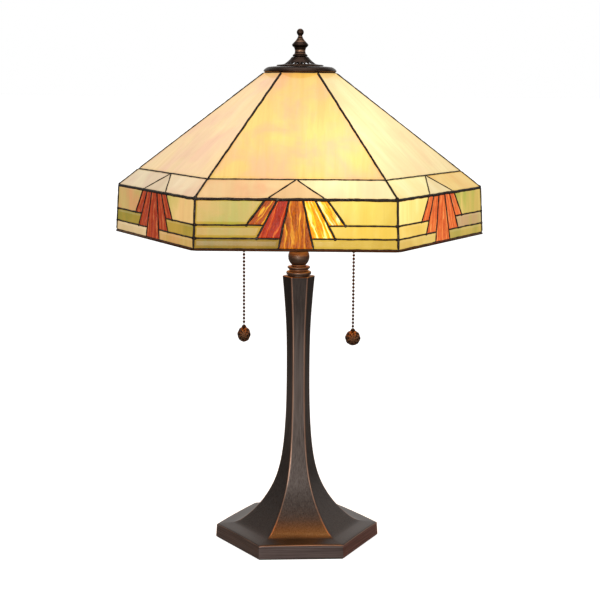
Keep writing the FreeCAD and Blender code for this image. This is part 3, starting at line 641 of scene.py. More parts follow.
# ======== The solder lines ========
def tier_lines():
    """(corner radius, height) of the shade's outer surface at the ends of its tiers, from the leading."""
    ridge = set()
    for vertex in frame["nodes"]["shade_leading"].data.vertices:
        x, y, z = vertex.co
        if abs(y) < 0.05 * MM and x > 0:
            ridge.add((round(z, 4), round(x, 4)))
    outer = {}
    for z, x in ridge:
        outer[z] = max(outer.get(z, 0), x)
    heights = sorted(outer, reverse=True)
    lines = []
    for z in heights:
        if not lines or (lines[-1][1] - z > 8 * MM and outer[z] > lines[-1][0]):
            lines.append((outer[z], z))
    return lines


LINES = tier_lines()
RIDGES = [Vector((radius * math.cos(math.radians(30)), z)) for radius, z in LINES]


def outward_of(tier):
    """A tier's outward direction in the plane of (flat radius, height)."""
    down = (RIDGES[tier + 1] - RIDGES[tier]).normalized()
    return Vector((-down.y, down.x))


def on_shade(face, tier, across, fraction, depth):
    """A place on a face: halves of its width across, a fraction down a tier and a depth under its surface."""
    place = RIDGES[tier].lerp(RIDGES[tier + 1], fraction)
    sunk = place - outward_of(tier) * depth
    turn = Matrix.Rotation(math.radians(60 * face), 3, "Z")
    return turn @ Vector((across * place.x * HALF_FACE, -sunk.x, sunk.y))


def face_normal(face, *tiers):
    """The outward direction of a face's tier, or of the joint between two."""
    total = sum((outward_of(t) for t in tiers), Vector((0, 0)))
    turn = Matrix.Rotation(math.radians(60 * face), 3, "Z")
    return (turn @ Vector((0, -total.x, total.y))).normalized()


def bead(bm, start, end, normal, width, height, chance, overrun=0.0, narrowing=0.0):
    """One run of solder: an oval rope of uneven width with rounded ends."""
    along = end - start
    length = along.length
    along.normalize()
    start = start - along * overrun
    length += 2 * overrun
    side = along.cross(normal).normalized()
    normal = side.cross(along)
    count = max(4, round(length / (2.6 * MM)))
    turns = 10
    rings = []
    phase = chance.random() * 50
    for i in range(count + 1):
        t = i / count
        spot = start + along * (length * t)
        uneven = 1 + 0.13 * noise.noise(Vector((length * t * 230, phase, 0)))
        wide = (width - narrowing * t) / 2
        drift = side * (0.12 * width * noise.noise(Vector((length * t * 90, phase, 9))))
        if i in (0, count):
            uneven *= 0.55
        ring = []
        for k in range(turns):
            angle = 2 * math.pi * k / turns
            swell = side * (math.cos(angle) * wide) + normal * (math.sin(angle) * height / 2)
            ring.append(bm.verts.new(spot + drift + swell * uneven))
        rings.append(ring)
    strip(bm, rings)
    for ring in (rings[0], rings[-1]):
        bm.faces.new(ring)


def solder_blob(bm, place, normal, size, chance):
    """A rounded lump where runs of solder meet."""
    turn = normal.to_track_quat("Z", "Y").to_matrix().to_4x4()
    lump = 0.5 * size * (0.9 + 0.25 * chance.random())
    shape = Matrix.Diagonal((lump, lump, 0.5 * LEAD_DEPTH * 1.08, 1))
    outline = []
    rings = 8
    for k in range(rings + 1):
        angle = math.pi * k / rings - math.pi / 2
        outline.append((max(0.0, math.cos(angle)) / MM, math.sin(angle) / MM, 0.0))
    outline[0] = (0.0, -1 / MM, 0.0)
    outline[-1] = (0.0, 1 / MM, 0.0)
    lathe(bm, outline, 12, Matrix.Translation(place) @ turn @ shape)


def face_runs(face):
    """The solder runs inside one face, as (start, end, normal, width), and the places where they meet."""
    middle = LEAD_DEPTH / 2
    runs = []
    shoulder, band = 1, 2
    for side in (-1, 1):
        top = on_shade(face, shoulder, 0, 0, middle)
        foot = on_shade(face, shoulder, side * GABLE_FOOT, 1, middle)
        runs.append((top, foot, face_normal(face, shoulder), GABLE_WIDTH))
        normal = face_normal(face, band)
        feet = ((CENTRE_RAY_FOOT, 1.0), (INNER_RAY_FOOT, INNER_SEAM), (OUTER_RAY_FOOT, OUTER_SEAM))
        for ray_top, (ray_foot, level) in zip(RAY_TOPS, feet):
            top = on_shade(face, band, side * ray_top, 0, middle)
            foot = on_shade(face, band, side * ray_foot, level, middle)
            runs.append((top, foot, normal, RAY_WIDTH))
        seams = (
            (RAY_TOPS[0] + (CENTRE_RAY_FOOT - RAY_TOPS[0]) * INNER_SEAM, INNER_SEAM),
            (RAY_TOPS[1] + (INNER_RAY_FOOT - RAY_TOPS[1]) * OUTER_SEAM / INNER_SEAM, OUTER_SEAM),
        )
        for inner, level in seams:
            start = on_shade(face, band, side * inner, level, middle)
            end = on_shade(face, band, side, level, middle)
            runs.append((start, end, normal, SEAM_WIDTH))
    return runs


def leading():
    """All the solder: the lines inside the faces, along the tiers and down the hips, with their joints."""
    bm = bmesh.new()
    chance = random.Random(11)
    middle = LEAD_DEPTH / 2
    last = len(RIDGES) - 1
    for face in range(FACES):
        for start, end, normal, width in face_runs(face):
            bead(bm, start, end, normal, width, LEAD_DEPTH, chance)
            solder_blob(bm, end, normal, width * 1.2, chance)
        for line, width in ((0, SEAM_WIDTH), (1, SEAM_WIDTH), (2, RIM_WIDTH), (3, EDGE_WIDTH)):
            tiers = [t for t in (line - 1, line) if 0 <= t < last]
            at = (tiers[0], 1) if line else (0, 0)
            ends = [on_shade(face, at[0], side, at[1], middle) for side in (-1, 1)]
            bead(bm, *ends, face_normal(face, *tiers), width, LEAD_DEPTH * 1.04, chance, 0.4 * MM)
        turn = Matrix.Rotation(math.radians(60 * face), 3, "Z")
        radial = turn @ Vector((math.sin(math.radians(30)), -math.cos(math.radians(30)), 0))
        for tier in range(last):
            start = on_shade(face, tier, 1, 0, 0)
            end = on_shade(face, tier, 1, 1, 0)
            along = (end - start).normalized()
            normal = (radial - along * radial.dot(along)).normalized()
            sunk = normal * (LEAD_DEPTH * 0.56)
            width = HIP_WIDTHS[min(tier, 1)]
            narrowing = 0 if tier else HIP_WIDTHS[0] - HIP_WIDTHS[1]
            bead(bm, start - sunk, end - sunk, normal, width, LEAD_DEPTH * 1.16, chance, 0.5 * MM, narrowing)
            if tier:
                solder_blob(bm, start - sunk, radial, width * 1.35, chance)
    piece = make_object("solder_lines", bm, solder(), "shade", "shade_leading")


def rim():
    """The copper-brown wire under the bottom edge, mitred at the corners."""
    bm = bmesh.new()
    low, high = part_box("rim_wire")
    thick = high.z - low.z
    radius = high.x - 0.75 * thick
    level = (low.z + high.z) / 2
    turns = 12
    rings = []
    for corner in range(FACES + 1):
        for spread in (-0.9, 0.9) if corner < FACES else (-0.9,):
            angle = math.radians(60 * corner + spread)
            reach = radius / math.cos(math.radians(abs(spread)))
            ring = []
            for k in range(turns):
                around = 2 * math.pi * k / turns
                out = reach + 0.62 * thick * math.cos(around)
                z = level + thick / 2 * math.sin(around)
                ring.append(bm.verts.new((out * math.cos(angle), out * math.sin(angle), z)))
            rings.append(ring)
    rings.pop()
    strip(bm, [*rings, rings[0]])
    look = plain_metal("dull_copper_wire", "5A3522", 0.42, spread=0.7)
    make_object("bottom_wire", bm, look, "shade", "rim_wire")


# ======== Foot, column and neck ========
def foot_turn():
    """How far the foot is turned round, from the plinth corner nearest to +X."""
    corners = [v.co for v in frame["nodes"]["base_column"].data.vertices]
    reach = max(math.hypot(p.x, p.y) for p in corners)
    angles = [math.atan2(p.y, p.x) for p in corners if math.hypot(p.x, p.y) > reach - 0.05 * MM]
    return min(angles, key=abs)


def column_ridge(turn):
    """(height, corner radius) of the column's outer ridge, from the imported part, in metres.

    It widens both ways from the waist, so anything narrower on the way belongs to a hollow inside.
    """
    outer = {}
    for vertex in frame["nodes"]["base_column"].data.vertices:
        x, y, z = vertex.co
        away = math.hypot(x, y)
        off = (math.atan2(y, x) - turn + math.pi / 6) % (math.pi / 3) - math.pi / 6
        if abs(off) * away < 0.05 * MM:
            key = round(z, 5)
            outer[key] = max(outer.get(key, 0), away)
    points = sorted((z, radius) for z, radius in outer.items())
    waist = min(range(len(points)), key=lambda i: abs(points[i][0] - COLUMN_WAIST))
    kept = [points[waist]]
    for z, radius in reversed(points[:waist]):
        if radius >= kept[0][1]:
            kept.insert(0, (z, radius))
    for z, radius in points[waist + 1 :]:
        if radius >= kept[-1][1]:
            kept.append((z, radius))
    return kept


def smooth_through(points, steps):
    """A Catmull-Rom curve through points."""
    result = []
    for i in range(len(points) - 1):
        a = points[max(0, i - 1)]
        b, c = points[i], points[i + 1]
        d = points[min(len(points) - 1, i + 2)]
        for k in range(steps):
            t = k / steps
            result.append(
                0.5 * (2 * b + (c - a) * t + (2 * a - 5 * b + 4 * c - d) * t**2 + (3 * b - a - 3 * c + d) * t**3)
            )
    result.append(points[-1])
    return result


COLUMN_WAIST = 0.187
PLINTH_ARCH = 0.7 * MM  # how far the plinth's upper edge rises in the middle of each side
FLARE_FILLET = 5 * MM  # the rounding between the flare and the plinth's border
RIDGE_ROUND = 0.75 * MM
ACROSS_STEPS = 14


def hexagon_ring(bm, layer, turn, radius, z, arch, edge_wear, level_wear):
    """One level of the column: six sides with narrow rounded corners, arched up in the middle."""
    ring = []
    for side in range(FACES):
        a = turn + math.radians(60 * side)
        b = a + math.radians(60)
        start = Vector((math.cos(a), math.sin(a))) * radius
        end = Vector((math.cos(b), math.sin(b))) * radius
        length = (end - start).length
        cut = min(0.25, 2 * RIDGE_ROUND / length)
        stops = [0, cut * 0.35, cut] + [
            cut + (1 - 2 * cut) * k / ACROSS_STEPS for k in range(1, ACROSS_STEPS)
        ] + [1 - cut, 1 - cut * 0.35]
        for t in stops:
            spot = start.lerp(end, t)
            near = min(t, 1 - t) / cut
            if near < 1:
                spot *= 1 - (1 - near) ** 2 * RIDGE_ROUND * 0.35 / radius
            rise = arch * (1 - (2 * t - 1) ** 2)
            vertex = bm.verts.new((spot.x, spot.y, z + rise))
            vertex[layer] = max(edge_wear * max(0.0, 1 - near * 0.8), level_wear)
            ring.append(vertex)
    return ring


def base():
    """The cast foot and column: plinth, flare and six-sided shaft with rubbed ridges."""
    turn = foot_turn()
    ridge = column_ridge(turn)
    bm = bmesh.new()
    layer = bm.verts.layers.float.new("wear")
    low_z, low_radius = ridge[0]
    edge = next(i for i, (z, radius) in enumerate(ridge) if z > 0.0145)
    edge_z, edge_radius = ridge[edge]
    foot_z, foot_radius = ridge[edge + 1]
    top_z, top_radius = ridge[-1]
    levels = [  # corner radius, height, arch, and how rubbed the ridges and the whole level are
        (low_radius - 3 * MM, low_z, 0, 0, 0),
        (low_radius - 0.4 * MM, low_z, 0, 0.3, 0.3),
        (low_radius, low_z + 0.4 * MM, 0, 0.5, 0.4),
        (low_radius, low_z + 1.0 * MM, 0, 0.4, 0),
        (edge_radius, edge_z - 2.2 * MM, PLINTH_ARCH * 0.9, 0.4, 0),
        (edge_radius, edge_z - 1.3 * MM, PLINTH_ARCH, 0.6, 0.1),
        (edge_radius - 0.1 * MM, edge_z - 0.8 * MM, PLINTH_ARCH, 0.6, 0.85),
        (edge_radius - 0.45 * MM, edge_z - 0.5 * MM, PLINTH_ARCH, 0.6, 0.6),
        (edge_radius - 1.2 * MM, edge_z - 0.15 * MM, PLINTH_ARCH, 0.2, 0),
        (edge_radius - 2.2 * MM, edge_z + 0.08 * MM, PLINTH_ARCH, 0, 0),
        (edge_radius - 3.4 * MM, edge_z + 0.24 * MM, PLINTH_ARCH, 0, 0),
    ]
    outside = Vector((edge_radius, edge_z))
    foot = Vector((foot_radius, foot_z))
    border = (outside - foot).normalized()
    levels.append((*outside.lerp(foot, 0.4), PLINTH_ARCH * 0.6, 0, 0))
    flare = smooth_through([Vector((radius, z)) for z, radius in ridge[edge + 1 :]], 3)
    upper = next(place for place in flare if (place - foot).length > FLARE_FILLET)
    for step in range(7):
        t = step / 6
        place = (foot + border * FLARE_FILLET) * (1 - t) ** 2 + foot * 2 * t * (1 - t) + upper * t**2
        levels.append((*place, PLINTH_ARCH * 0.3 * (1 - t), 1.2 * t, 0))
    for place in flare:
        if upper.y + 0.5 * MM < place.y < top_z - 1.4 * MM:
            levels.append((*place, 0, 1.2, 0))
    levels += [
        (top_radius - 0.1 * MM, top_z - 1.2 * MM, 0, 1.1, 0),
        (top_radius, top_z - 0.6 * MM, 0, 0.8, 0.4),
        (top_radius - 0.6 * MM, top_z, 0, 0.8, 0.8),
        (top_radius - 3 * MM, top_z, 0, 0.3, 0.2),
        (5.5 * MM, top_z, 0, 0, 0),
    ]
    rings = [hexagon_ring(bm, layer, turn, *values) for values in levels]
    strip(bm, rings)
    bm.faces.new(rings[0])
    bm.faces.new(rings[-1])
    piece = make_object("foot_and_column", bm, column_bronze(), "lamp", "base_column")


def column_bronze():
    """The casting's bronze: brushed up the column and along the plinth, purplish on the plinth's sides, with
    painted highlight and shade by height and painted warm light on the plinth sides that face right.
    """
    look = Look("column_bronze")
    upright = look.noise(look.stretched(look.object_spot, (900, 900, 10)), 1.0, 4, 0.6)
    level = look.noise(look.stretched(look.object_spot, (12, 12, 900)), 1.0, 4, 0.6)
    split = look.node("ShaderNodeSeparateXYZ", {0: look.object_spot})
    on_plinth = look.level(split.outputs[2], 0.0162, 0.0148)
    facing = look.node("ShaderNodeSeparateXYZ", {0: look.spot.outputs["True Normal"]})
    on_side = look.math("MULTIPLY", on_plinth, look.level(facing.outputs[2], 0.5, 0.2))
    brushed = look.node("ShaderNodeMix", {0: on_side, 2: upright, 3: level}).outputs[0]
    cloud = look.noise(look.object_spot, 22, 4)
    rub = look.attribute("wear", "Fac")
    copper = look.level(look.math("MULTIPLY", rub, look.level(cloud, 0.25, 0.6, 0.6, 1.15)), 0.3, 0.95)
    dark = look.mix(look.level(brushed, 0.3, 0.7), linear("433A36"), linear("5E5550"))
    # Painted light by height: a little brighter at the very foot, a painted highlight from about 0.08 m up, and
    # painted shade over the top of the column.
    foot = look.level(split.outputs[2], 0.02, 0.05, 1.2, 0.95)
    middle = look.level(split.outputs[2], 0.08, 0.15, 1.0, 1.6)
    top = look.level(split.outputs[2], 0.18, 0.27, 1.0, 0.37)
    dark = look.scale(dark, look.math("MULTIPLY", foot, look.math("MULTIPLY", middle, top)))
    plum = look.mix(look.level(brushed, 0.35, 0.65), linear("605553"), linear("8B7F7E"))
    # Painted warm light: the plinth sides that face right are made redder and brighter.
    painted_light_right = look.level(facing.outputs[0], 0.3, 0.8)
    plum = look.mix(painted_light_right, plum, look.vector("MULTIPLY", plum, (1.4, 0.9, 0.86)))
    base = look.mix(copper, look.mix(on_side, dark, plum), linear("A98470"))
    look.set(Base_Color=base, Metallic=0.9)
    rough = look.level(brushed, 0.2, 0.8, 0.26, 0.38)
    look.set(Roughness=rough)
    look.bump(brushed, 0.08, 0.0003)
    return look.material


def neck():
    """The two-disc collar and the turned ball above it, with its sleeve."""
    # under=0.8 paints shade on the undersides of the discs and the ball.
    metal = bronze("turned_bronze", brush=(4, 4, 60), shade="59483D", sheen="7E6A5C", under=0.8)
    low, high = (c.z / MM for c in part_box("column_collar"))
    bm = bmesh.new()
    outline = [
        (5.2, low, 0),
        (12.3, low, 0.4),
        (12.3, low + 1.4, 0.3),
        (13.9, low + 1.9, 0.9),
        (13.9, low + 4.6, 0.9),
        (11.3, low + 5.6, 0.4),
        (10.4, low + 6.6, 0.8),
        (11.3, low + 7.7, 0.4),
        (12.6, low + 8.4, 0.8),
        (12.6, low + 10.4, 0.8),
        (11.0, high, 0.3),
        (5.2, high, 0),
    ]
    lathe(bm, filleted(outline))
    make_object("disc_collar", bm, metal, "lamp", "column_collar")
    low, high = (c.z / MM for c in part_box("neck_spindle"))
    wide = (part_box("neck_spindle")[1].x) / MM
    centre = low + 10.3
    bm = bmesh.new()
    outline = [(5.2, low, 0.0), (8.3, low, 0.0), (8.3, low + 0.6, 0.6)]
    start, end = math.radians(-51), math.radians(54)
    for k in range(25):
        angle = start + (end - start) * k / 24
        outline.append((wide * math.cos(angle), centre + wide * math.sin(angle), 0.0))
    outline += [(6.6, centre + 12.0, 0), (6.6, high - 5, 0), (9.5, high - 0.6, 0.5)]
    outline += [(9.5, high, 0), (5.2, high, 0)]
    lathe(bm, outline)
    make_object("neck_ball", bm, metal, "lamp", "neck_spindle")


# ======== Cap and finial ========
def vase_cap_top():
    """The domed cap with its rolled edge."""
    low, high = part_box("vase_cap")
    rim, z0, z1 = high.x / MM, low.z / MM, high.z / MM
    outline = [
        (3.2, z1 - 1.0, 0),
        (26.5, z1 - 1.0, 2),
        (33.5, z1 - 2.6, 3),
        (rim - 1.9, z0 + 0.9, 0.5),
        (rim - 1.3, z0, 0.4),
        (rim - 0.3, z0, 0.6),
        (rim, z0 + 1.2, 0.8),
        (rim - 1.2, z0 + 2.8, 1.4),
        (rim - 4.4, z1 - 0.9, 3.0),
        (rim - 11.0, z1 - 0.1, 3.0),
        (3.2, z1, 0),
    ]
    bm = bmesh.new()
    lathe(bm, filleted(outline), 128)
    return bm


def pierced_cap_top():
    """The filigree cap: a thin turned sheet whose openings are left out of the mesh."""
    low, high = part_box("pierced_cap")
    rim, z0, z1 = high.x / MM, low.z / MM, high.z / MM
    corners = [
        (rim, z0 + 0.5, 0.4),
        (rim - 1.2, z0 + 1.3, 0.6),
        (20.6, z0 + 1.5, 1.0),
        (16.9, z0 + 2.1, 1.2),
        (13.5, z0 + 4.7, 1.5),
        (10.8, z0 + 7.2, 1.5),
        (8.7, z1 - 0.6, 0.4),
        (3.3, z1 - 0.3, 0),
    ]
    outline = [Vector((r, z)) for r, z, rub in filleted(corners, 6)]
    length = [0.0]
    for a, b in zip(outline, outline[1:]):
        length.append(length[-1] + (b - a).length)
    rows, turns = 46, 240
    bm = bmesh.new()
    wear = bm.verts.layers.float.new("wear")
    rings = []
    for j in range(rows + 1):
        reach = length[-1] * j / rows
        i = min(len(length) - 2, max(k for k, v in enumerate(length) if v <= reach))
        place = outline[i].lerp(outline[i + 1], (reach - length[i]) / max(1e-6, length[i + 1] - length[i]))
        ring = []
        for k in range(turns):
            angle = 2 * math.pi * k / turns
            frill = 1 + 0.012 * math.cos(24 * angle) * max(0, 1 - j / 4)
            ring.append(bm.verts.new(Vector((math.cos(angle), math.sin(angle), 0)) * place.x * frill * MM))
            ring[-1].co.z = place.y * MM
            ring[-1][wear] = 0.5 if j < 2 else 0.15
        rings.append(ring)
    rows_of_holes = ((8, 12, 24, 0.5), (16, 22, 20, 0.0))
    for j in range(rows):
        for k in range(turns):
            angle = (k + 0.5) / turns
            hole = False
            for first, last, count, shift in rows_of_holes:
                up = (2 * (j + 0.5 - first) / (last - first)) - 1
                out = 2 * ((angle * count + shift) % 1.0) - 1
                hole = hole or up**2 + (out / 0.62) ** 2 < 1
            if not hole:
                n = (k + 1) % turns
                bm.faces.new([rings[j][k], rings[j][n], rings[j + 1][n], rings[j + 1][k]])
    loose = [v for v in bm.verts if not v.link_faces]
    bmesh.ops.delete(bm, geom=loose, context="VERTS")
    for turn in range(3):
        rim_verts = [v for v in bm.verts if v.is_boundary]
        bmesh.ops.smooth_vert(
            bm, verts=rim_verts, factor=0.5, use_axis_x=True, use_axis_y=True, use_axis_z=True
        )
    return bm


def finial_top():
    """The finial: foot ring, waist, collar, tapering neck and ball."""
    low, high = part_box("finial")
    z0, z1 = low.z / MM, high.z / MM
    size = 3.9
    corners = [
        (3.0, z0, 0),
        (7.7, z0, 0.4),
        (8.3, z0 + 1.0, 0.9),
        (7.6, z0 + 2.2, 0.6),
        (6.2, z0 + 3.0, 0.8),
        (5.5, z0 + 6.4, 3.0),
        (6.6, z0 + 9.6, 1.5),
        (8.3, z0 + 11.0, 0.8),
        (9.1, z0 + 12.6, 0.7),
        (8.2, z0 + 13.8, 0.8),
        (5.7, z0 + 16.4, 2.0),
        (3.6, z0 + 18.9, 2.0),
        (2.4, z0 + 21.4, 0.8),
        (2.3, z1 - 2 * size + 0.5, 0.0),
    ]
    outline = filleted(corners, 5)
    centre = z1 - size
    for k in range(1, 13):
        angle = math.radians(-48 + 138 * k / 12)
        rub = 0.6 * max(0.0, math.sin(angle))
        outline.append((size * math.cos(angle) if k < 12 else 0.0, centre + size * math.sin(angle), rub))
    bm = bmesh.new()
    lathe(bm, outline, 72)
    return bm


def crown():
    """The caps and the finial."""
    # under=0.3 paints deep shade on the undersides of the caps and the finial.
    metal = bronze("cap_bronze", brush=(6, 6, 50), shade="2E1E16", sheen="4A372D", under=0.3)
    make_object("domed_cap", vase_cap_top(), metal, "shade", "vase_cap")
    pierced = make_object("filigree_cap", pierced_cap_top(), metal, "shade", "pierced_cap")
    sheet = pierced.modifiers.new("sheet", "SOLIDIFY")
    sheet.thickness = 0.9 * MM
    sheet.offset = 0
    make_object("turned_finial", finial_top(), metal, "finial", "finial")


# ======== Pull chains ========
def chains():
    """Bead chains with their links, the bell couplings and the etched balls."""
    bead_metal = plain_metal("chain_brass", "4A2E1C", 0.3, spread=0.6)
    bell_metal = bronze("coupling_bronze")
    ball_metal = etched_bronze()
    for side, squeeze in (("left", 0.86), ("right", 1.0)):
        for node, body in (("bead_chain", "pull_chain"), ("switch_chain", "switch_chain")):
            name = side + "_" + node
            low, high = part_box(name)
            radius = (high.x - low.x) / 2
            centre = (low + high) / 2
            pitch = 4.0 * MM
            first = high.z - radius - (0.6 if node == "bead_chain" else 0.1) * MM
            bm = bmesh.new()
            z = first
            while z - radius > low.z - 0.3 * MM:
                ball(bm, Vector((centre.x, centre.y, z)), radius * 0.97, 18, 12)
                z -= pitch
            foot, top = low.z / MM, high.z / MM
            link = [(0.0, foot, 0), (0.42, foot, 0), (0.42, top, 0), (0.0, top, 0)]
            lathe(bm, link, 10, Matrix.Translation((centre.x, centre.y, 0)))
            make_object(name + "_beads", bm, bead_metal, side + "_" + body, name)
        name = side + "_chain_coupling"
        low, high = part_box(name)
        bm = bmesh.new()
        z0, z1 = low.z / MM, high.z / MM
        corners = [(0, z0 + 0.8, 0), (2.2, z0 + 0.6, 0.2), (2.5, z0, 0.2), (2.9, z0 + 0.2, 0.2)]
        corners += [(2.8, z0 + 1.2, 0.4), (2.1, z0 + 3.0, 1.0), (1.7, z1 - 1.6, 0.8)]
        corners += [(1.0, z1 - 0.2, 0.5), (0, z1, 0)]
        place = Matrix.Translation(((low.x + high.x) / 2, 0, 0))
        lathe(bm, filleted(corners), 32, place)
        make_object(name + "_bell", bm, bell_metal, name, name)
        pull(side, squeeze, ball_metal)


def pull(side, squeeze, metal):
    """A pull ball: slightly flattened, etched all over with a rosette, with a small collar."""
    name = side + "_pull_ball"
    low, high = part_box(name)
    radius = (high.y - low.y) / 2
    centre = Vector(((low.x + high.x) / 2, 0, low.z + radius))
    bm = bmesh.new()
    wear = bm.verts.layers.float.new("wear")
    turns, rows = 128, 96
    rings = []
    for j in range(rows + 1):
        tilt = math.pi * j / rows - math.pi / 2
        ring = []
        for k in range(turns):
            angle = 2 * math.pi * k / turns
            way = Vector((math.cos(tilt) * math.cos(angle), math.cos(tilt) * math.sin(angle), math.sin(tilt)))
            flat = math.hypot(way.x, way.z)
            petal = math.atan2(way.z, way.x)
            scroll = math.cos(8 * petal + 7 * flat) * math.sin(flat * 13)
            cut = max(0.0, min(1.0, 0.5 + 1.3 * scroll))
            cut *= min(1.0, flat * 6)
            if j in (0, rows) and k:
                ring.append(ring[0])
                continue
            spot = way * (radius - 0.42 * MM * (1 - cut))
            spot.x *= squeeze
            ring.append(bm.verts.new(centre + spot))
            ring[-1][wear] = cut
        rings.append(ring)
    strip(bm, rings)
    top = high.z / MM
    neck_low = (centre.z + radius) / MM - 0.8
    corners = [(0, neck_low, 0), (2.6, neck_low, 0), (2.7, neck_low + 1.2, 0.4), (1.9, neck_low + 1.6, 0.3)]
    corners += [(2.1, top - 0.8, 0.4), (1.2, top, 0.3), (0, top, 0)]
    lathe(bm, filleted(corners), 32, Matrix.Translation((centre.x, 0, 0)))
    return make_object(side + "_etched_ball", bm, metal, side + "_pull_chain", name)


# ======== Bulbs, sockets and hidden metal ========
def bulbs():
    """The frosted globes."""
    glass = bulb_glass()
    for side in ("left", "right"):
        name = side + "_bulb_glass"
        joint = next(j for j in frame["joints"] if j["name"] == side + "_bulb_turn")
        axis = Vector(joint["axis"]).normalized()
        foot = Vector(joint["pos_m"])
        reach = [(v.co - foot).dot(axis) for v in frame["nodes"][name].data.vertices]
        near, far = min(reach) / MM, max(reach) / MM
        radius = 22.5
        outline = [(0.0, near, 0), (12.3, near, 0), (12.5, near + 5, 0)]
        for k in range(25):
            angle = math.radians(-53 + 143 * k / 24)
            reach = radius * math.cos(angle) if k < 24 else 0.0
            outline.append((reach, far - radius + radius * math.sin(angle), 0))
        place = Matrix.Translation(foot) @ axis.to_track_quat("Z", "Y").to_matrix().to_4x4()
        bm = bmesh.new()
        lathe(bm, outline, 64, place)
        piece = make_object(side + "_globe", bm, glass, side + "_bulb", name)
        piece.visible_shadow = False


def hidden_metal():
    """Finishes for the CAD pieces that are shown as they are."""
    brass = plain_metal("satin_brass", "B08A48", 0.3)
    steel = plain_metal("plated_steel", "9A9A98", 0.32)
    bright = plain_metal("bright_cap", "C8C8C6", 0.22, spread=0.15)
    copper = plain_metal("copper_wire", "B8703C", 0.3)
    looks = {
        "ballast_plate": matt("rough_iron", "2C2C2C", "4A4642", 160, 0.7, 0.6, 0.001),
        "felt_pad": matt("green_felt", "1E2A1C", "33452E", 1500, 0.95, 0.8, 0.0008),
        "flex_grommet": matt("moulded_bush", "1A1411", "2A211B", 500, 0.5, 0.2, 0.0003),
        "lead_wires": copper,
        "centre_rod": steel,
        "riser_rod": steel,
        # Painted shade: the ring under the cap is coloured near black, as it sits in the cap's shade.
        "shade_top_ring": matt("painted_shade_ring", "1C120D", "30211A", 400, 0.55, 0.2, 0.0003),
        "rod_nut": steel,
        "rod_washer": steel,
    }
    insulator = matt("moulded_liner", "D8D2C4", "E8E4D8", 300, 0.6, 0.1, 0.0003)
    for name, node in frame["nodes"].items():
        look = looks.get(name, brass)
        if name.endswith("socket_liner"):
            look = insulator
        if name.endswith("bulb_cap"):
            look = bright
        if name.endswith("bulb_stem"):
            look = bpy.data.materials["bulb_glass"]
        node.data.materials.clear()
        node.data.materials.append(look)


def cable():
    """The round cable that leaves the back of the plinth."""
    low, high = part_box("flex_cable")
    turn = foot_turn()
    radius = 2.6 * MM
    level = low.z + radius
    way = Vector((-math.sin(turn), math.cos(turn), 0))
    side = way.cross(UP)
    reach = high.y / math.cos(turn) - radius
    bm = bmesh.new()
    rings = []
    path = [Vector((0, 0, high.z)), Vector((0, 0, level + 0.005))]
    for k in range(1, 9):
        angle = math.radians(90 * k / 8)
        path.append(way * (0.005 * (1 - math.cos(angle))) + UP * (level + 0.005 * (1 - math.sin(angle))))
    steps = 30
    for k in range(1, steps + 1):
        path.append(way * (0.005 + (reach - 0.005) * k / steps) + UP * level)
    for i, spot in enumerate(path):
        along = (path[min(i + 1, len(path) - 1)] - path[max(i - 1, 0)]).normalized()
        over = side.cross(along)
        ring = []
        for k in range(20):
            angle = 2 * math.pi * k / 20
            ring.append(bm.verts.new(spot + (side * math.cos(angle) + over * math.sin(angle)) * radius))
        rings.append(ring)
    strip(bm, rings)
    bm.faces.new(rings[0])
    bm.faces.new(rings[-1])
    look = matt("cable_sheath", "20150F", "32241A", 400, 0.4, 0.15, 0.0003)
    make_object("cable_tail", bm, look, "lamp", "flex_cable")


# ======== Floor, light and camera ========
FLOOR_POOL = (0.3, -2.3, 0.0)


def floor():
    """A plain pale floor, darker in the metal's reflections as painted shade, with a pool of light in front that
    only shows in the metal.
    """
    bpy.ops.mesh.primitive_plane_add(size=80)
    ground = bpy.context.object
    ground.name = "floor"
    look = Look("pale_floor")
    fleck = look.noise(look.object_spot, 60, 3)
    seen = look.node("ShaderNodeLightPath", {}).outputs["Is Camera Ray"]
    pale = look.mix(fleck, linear("F2F0EC"), linear("F6F5F2"))
    # Painted shade in reflections: to every ray but the camera's the floor is about a third as bright.
    look.set(Base_Color=look.scale(pale, look.level(seen, 0, 1, 0.32, 1.0)), Roughness=0.7)
    away = look.measure("LENGTH", look.vector("SUBTRACT", look.object_spot, FLOOR_POOL))
    pool = look.level(away, 1.65, 1.05, 0.0, 1.4)
    shine = look.node("ShaderNodeMix", {0: seen, 2: pool, 3: 0.85}).outputs[0]
    look.set(Emission_Color=(1, 1, 1, 1), Emission_Strength=shine)
    ground.data.materials.append(look.material)


def soft_light(name, place, target, size, power, colour=(1, 1, 1)):
    """A square softbox aimed at a target."""
    light = bpy.data.lights.new(name, "AREA")
    light.size = size
    light.energy = power
    light.color = colour
    lamp = bpy.data.objects.new(name, light)
    lamp.location = place
    lamp.rotation_euler = (Vector(place) - Vector(target)).to_track_quat("Z", "Y").to_euler()
    bpy.context.scene.collection.objects.link(lamp)


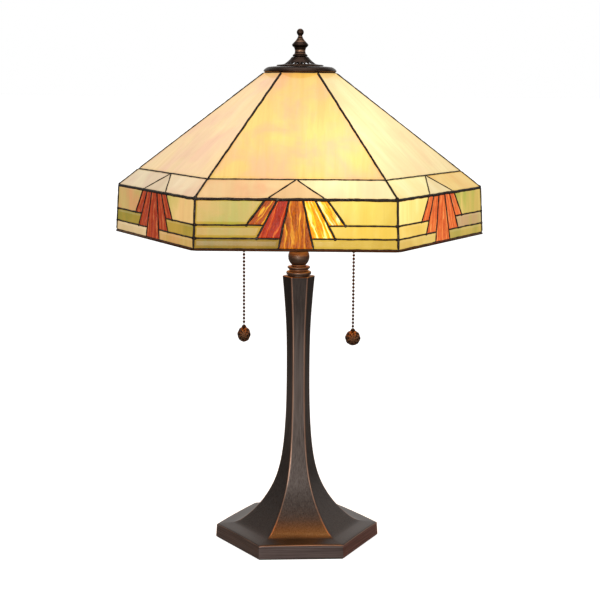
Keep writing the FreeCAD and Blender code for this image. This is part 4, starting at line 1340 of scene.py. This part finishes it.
def studio():
    """A white backdrop; what the lamp itself sees is bright in front, dimmer low behind, and dark above."""
    world = bpy.data.worlds.new("studio")
    bpy.context.scene.world = world
    world.use_nodes = True
    tree = world.node_tree

    def node(kind, inputs, **settings):
        made = tree.nodes.new(kind)
        for key, value in settings.items():
            setattr(made, key, value)
        for key, value in inputs.items():
            if isinstance(value, bpy.types.NodeSocket):
                tree.links.new(value, made.inputs[key])
            else:
                made.inputs[key].default_value = value
        return made

    def level(value, low, high, to_low, to_high):
        inputs = {"Value": value, "From Min": low, "From Max": high, "To Min": to_low, "To Max": to_high}
        return node("ShaderNodeMapRange", inputs, interpolation_type="SMOOTHSTEP").outputs["Result"]

    way = node("ShaderNodeSeparateXYZ", {0: node("ShaderNodeTexCoord", {}).outputs["Generated"]})
    front = level(way.outputs["Y"], 0.1, -0.95, 0.0, 0.62)
    behind = level(way.outputs["Y"], 0.2, 0.9, 0.0, 0.6)
    low = level(way.outputs["Z"], 0.7, 0.3, 0.0, 1.0)
    glow = node("ShaderNodeMath", {0: behind, 1: low}, operation="MULTIPLY")
    total = node("ShaderNodeMath", {0: glow.outputs[0], 1: front}, operation="ADD")
    total = node("ShaderNodeMath", {0: total.outputs[0], 1: 0.15}, operation="ADD")
    around = node("ShaderNodeBackground", {"Color": (1, 0.99, 0.97, 1), "Strength": total.outputs[0]})
    white = node("ShaderNodeBackground", {"Color": (1, 1, 1, 1), "Strength": 1.0})
    seen = node("ShaderNodeLightPath", {}).outputs["Is Camera Ray"]
    choose = node("ShaderNodeMixShader", {0: seen, 1: around.outputs[0], 2: white.outputs[0]})
    tree.links.new(choose.outputs[0], tree.nodes["World Output"].inputs["Surface"])
    soft_light("key", (-0.5, -2.4, 0.75), (0, 0, 0.3), 1.1, 16)
    soft_light("side", (2.0, -1.2, 1.0), (0, 0, 0.3), 1.0, 6)
    soft_light("over", (0.0, 0.2, 2.4), (0, 0, 0.2), 1.4, 10)


def camera():
    """The camera, at the picture's own angle."""
    lens = bpy.data.cameras.new("view")
    lens.lens = VIEW_LENS
    lens.sensor_width = 36
    lens.clip_end = 100
    view = bpy.data.objects.new("view", lens)
    turn = Matrix.Rotation(math.radians(VIEW_TURN), 4, "Z")
    aim = Matrix.Rotation(math.radians(90 - VIEW_DOWN), 4, "X")
    roll = Matrix.Rotation(math.radians(VIEW_ROLL), 4, "Z")
    view.matrix_world = turn @ Matrix.Translation(VIEW_PLACE) @ aim @ roll
    bpy.context.scene.collection.objects.link(view)
    bpy.context.scene.camera = view
    bpy.context.scene.view_settings.view_transform = "Standard"


glass_pieces()
leading()
rim()
base()
neck()
crown()
chains()
bulbs()
cable()
hidden_metal()
floor()
studio()
camera()
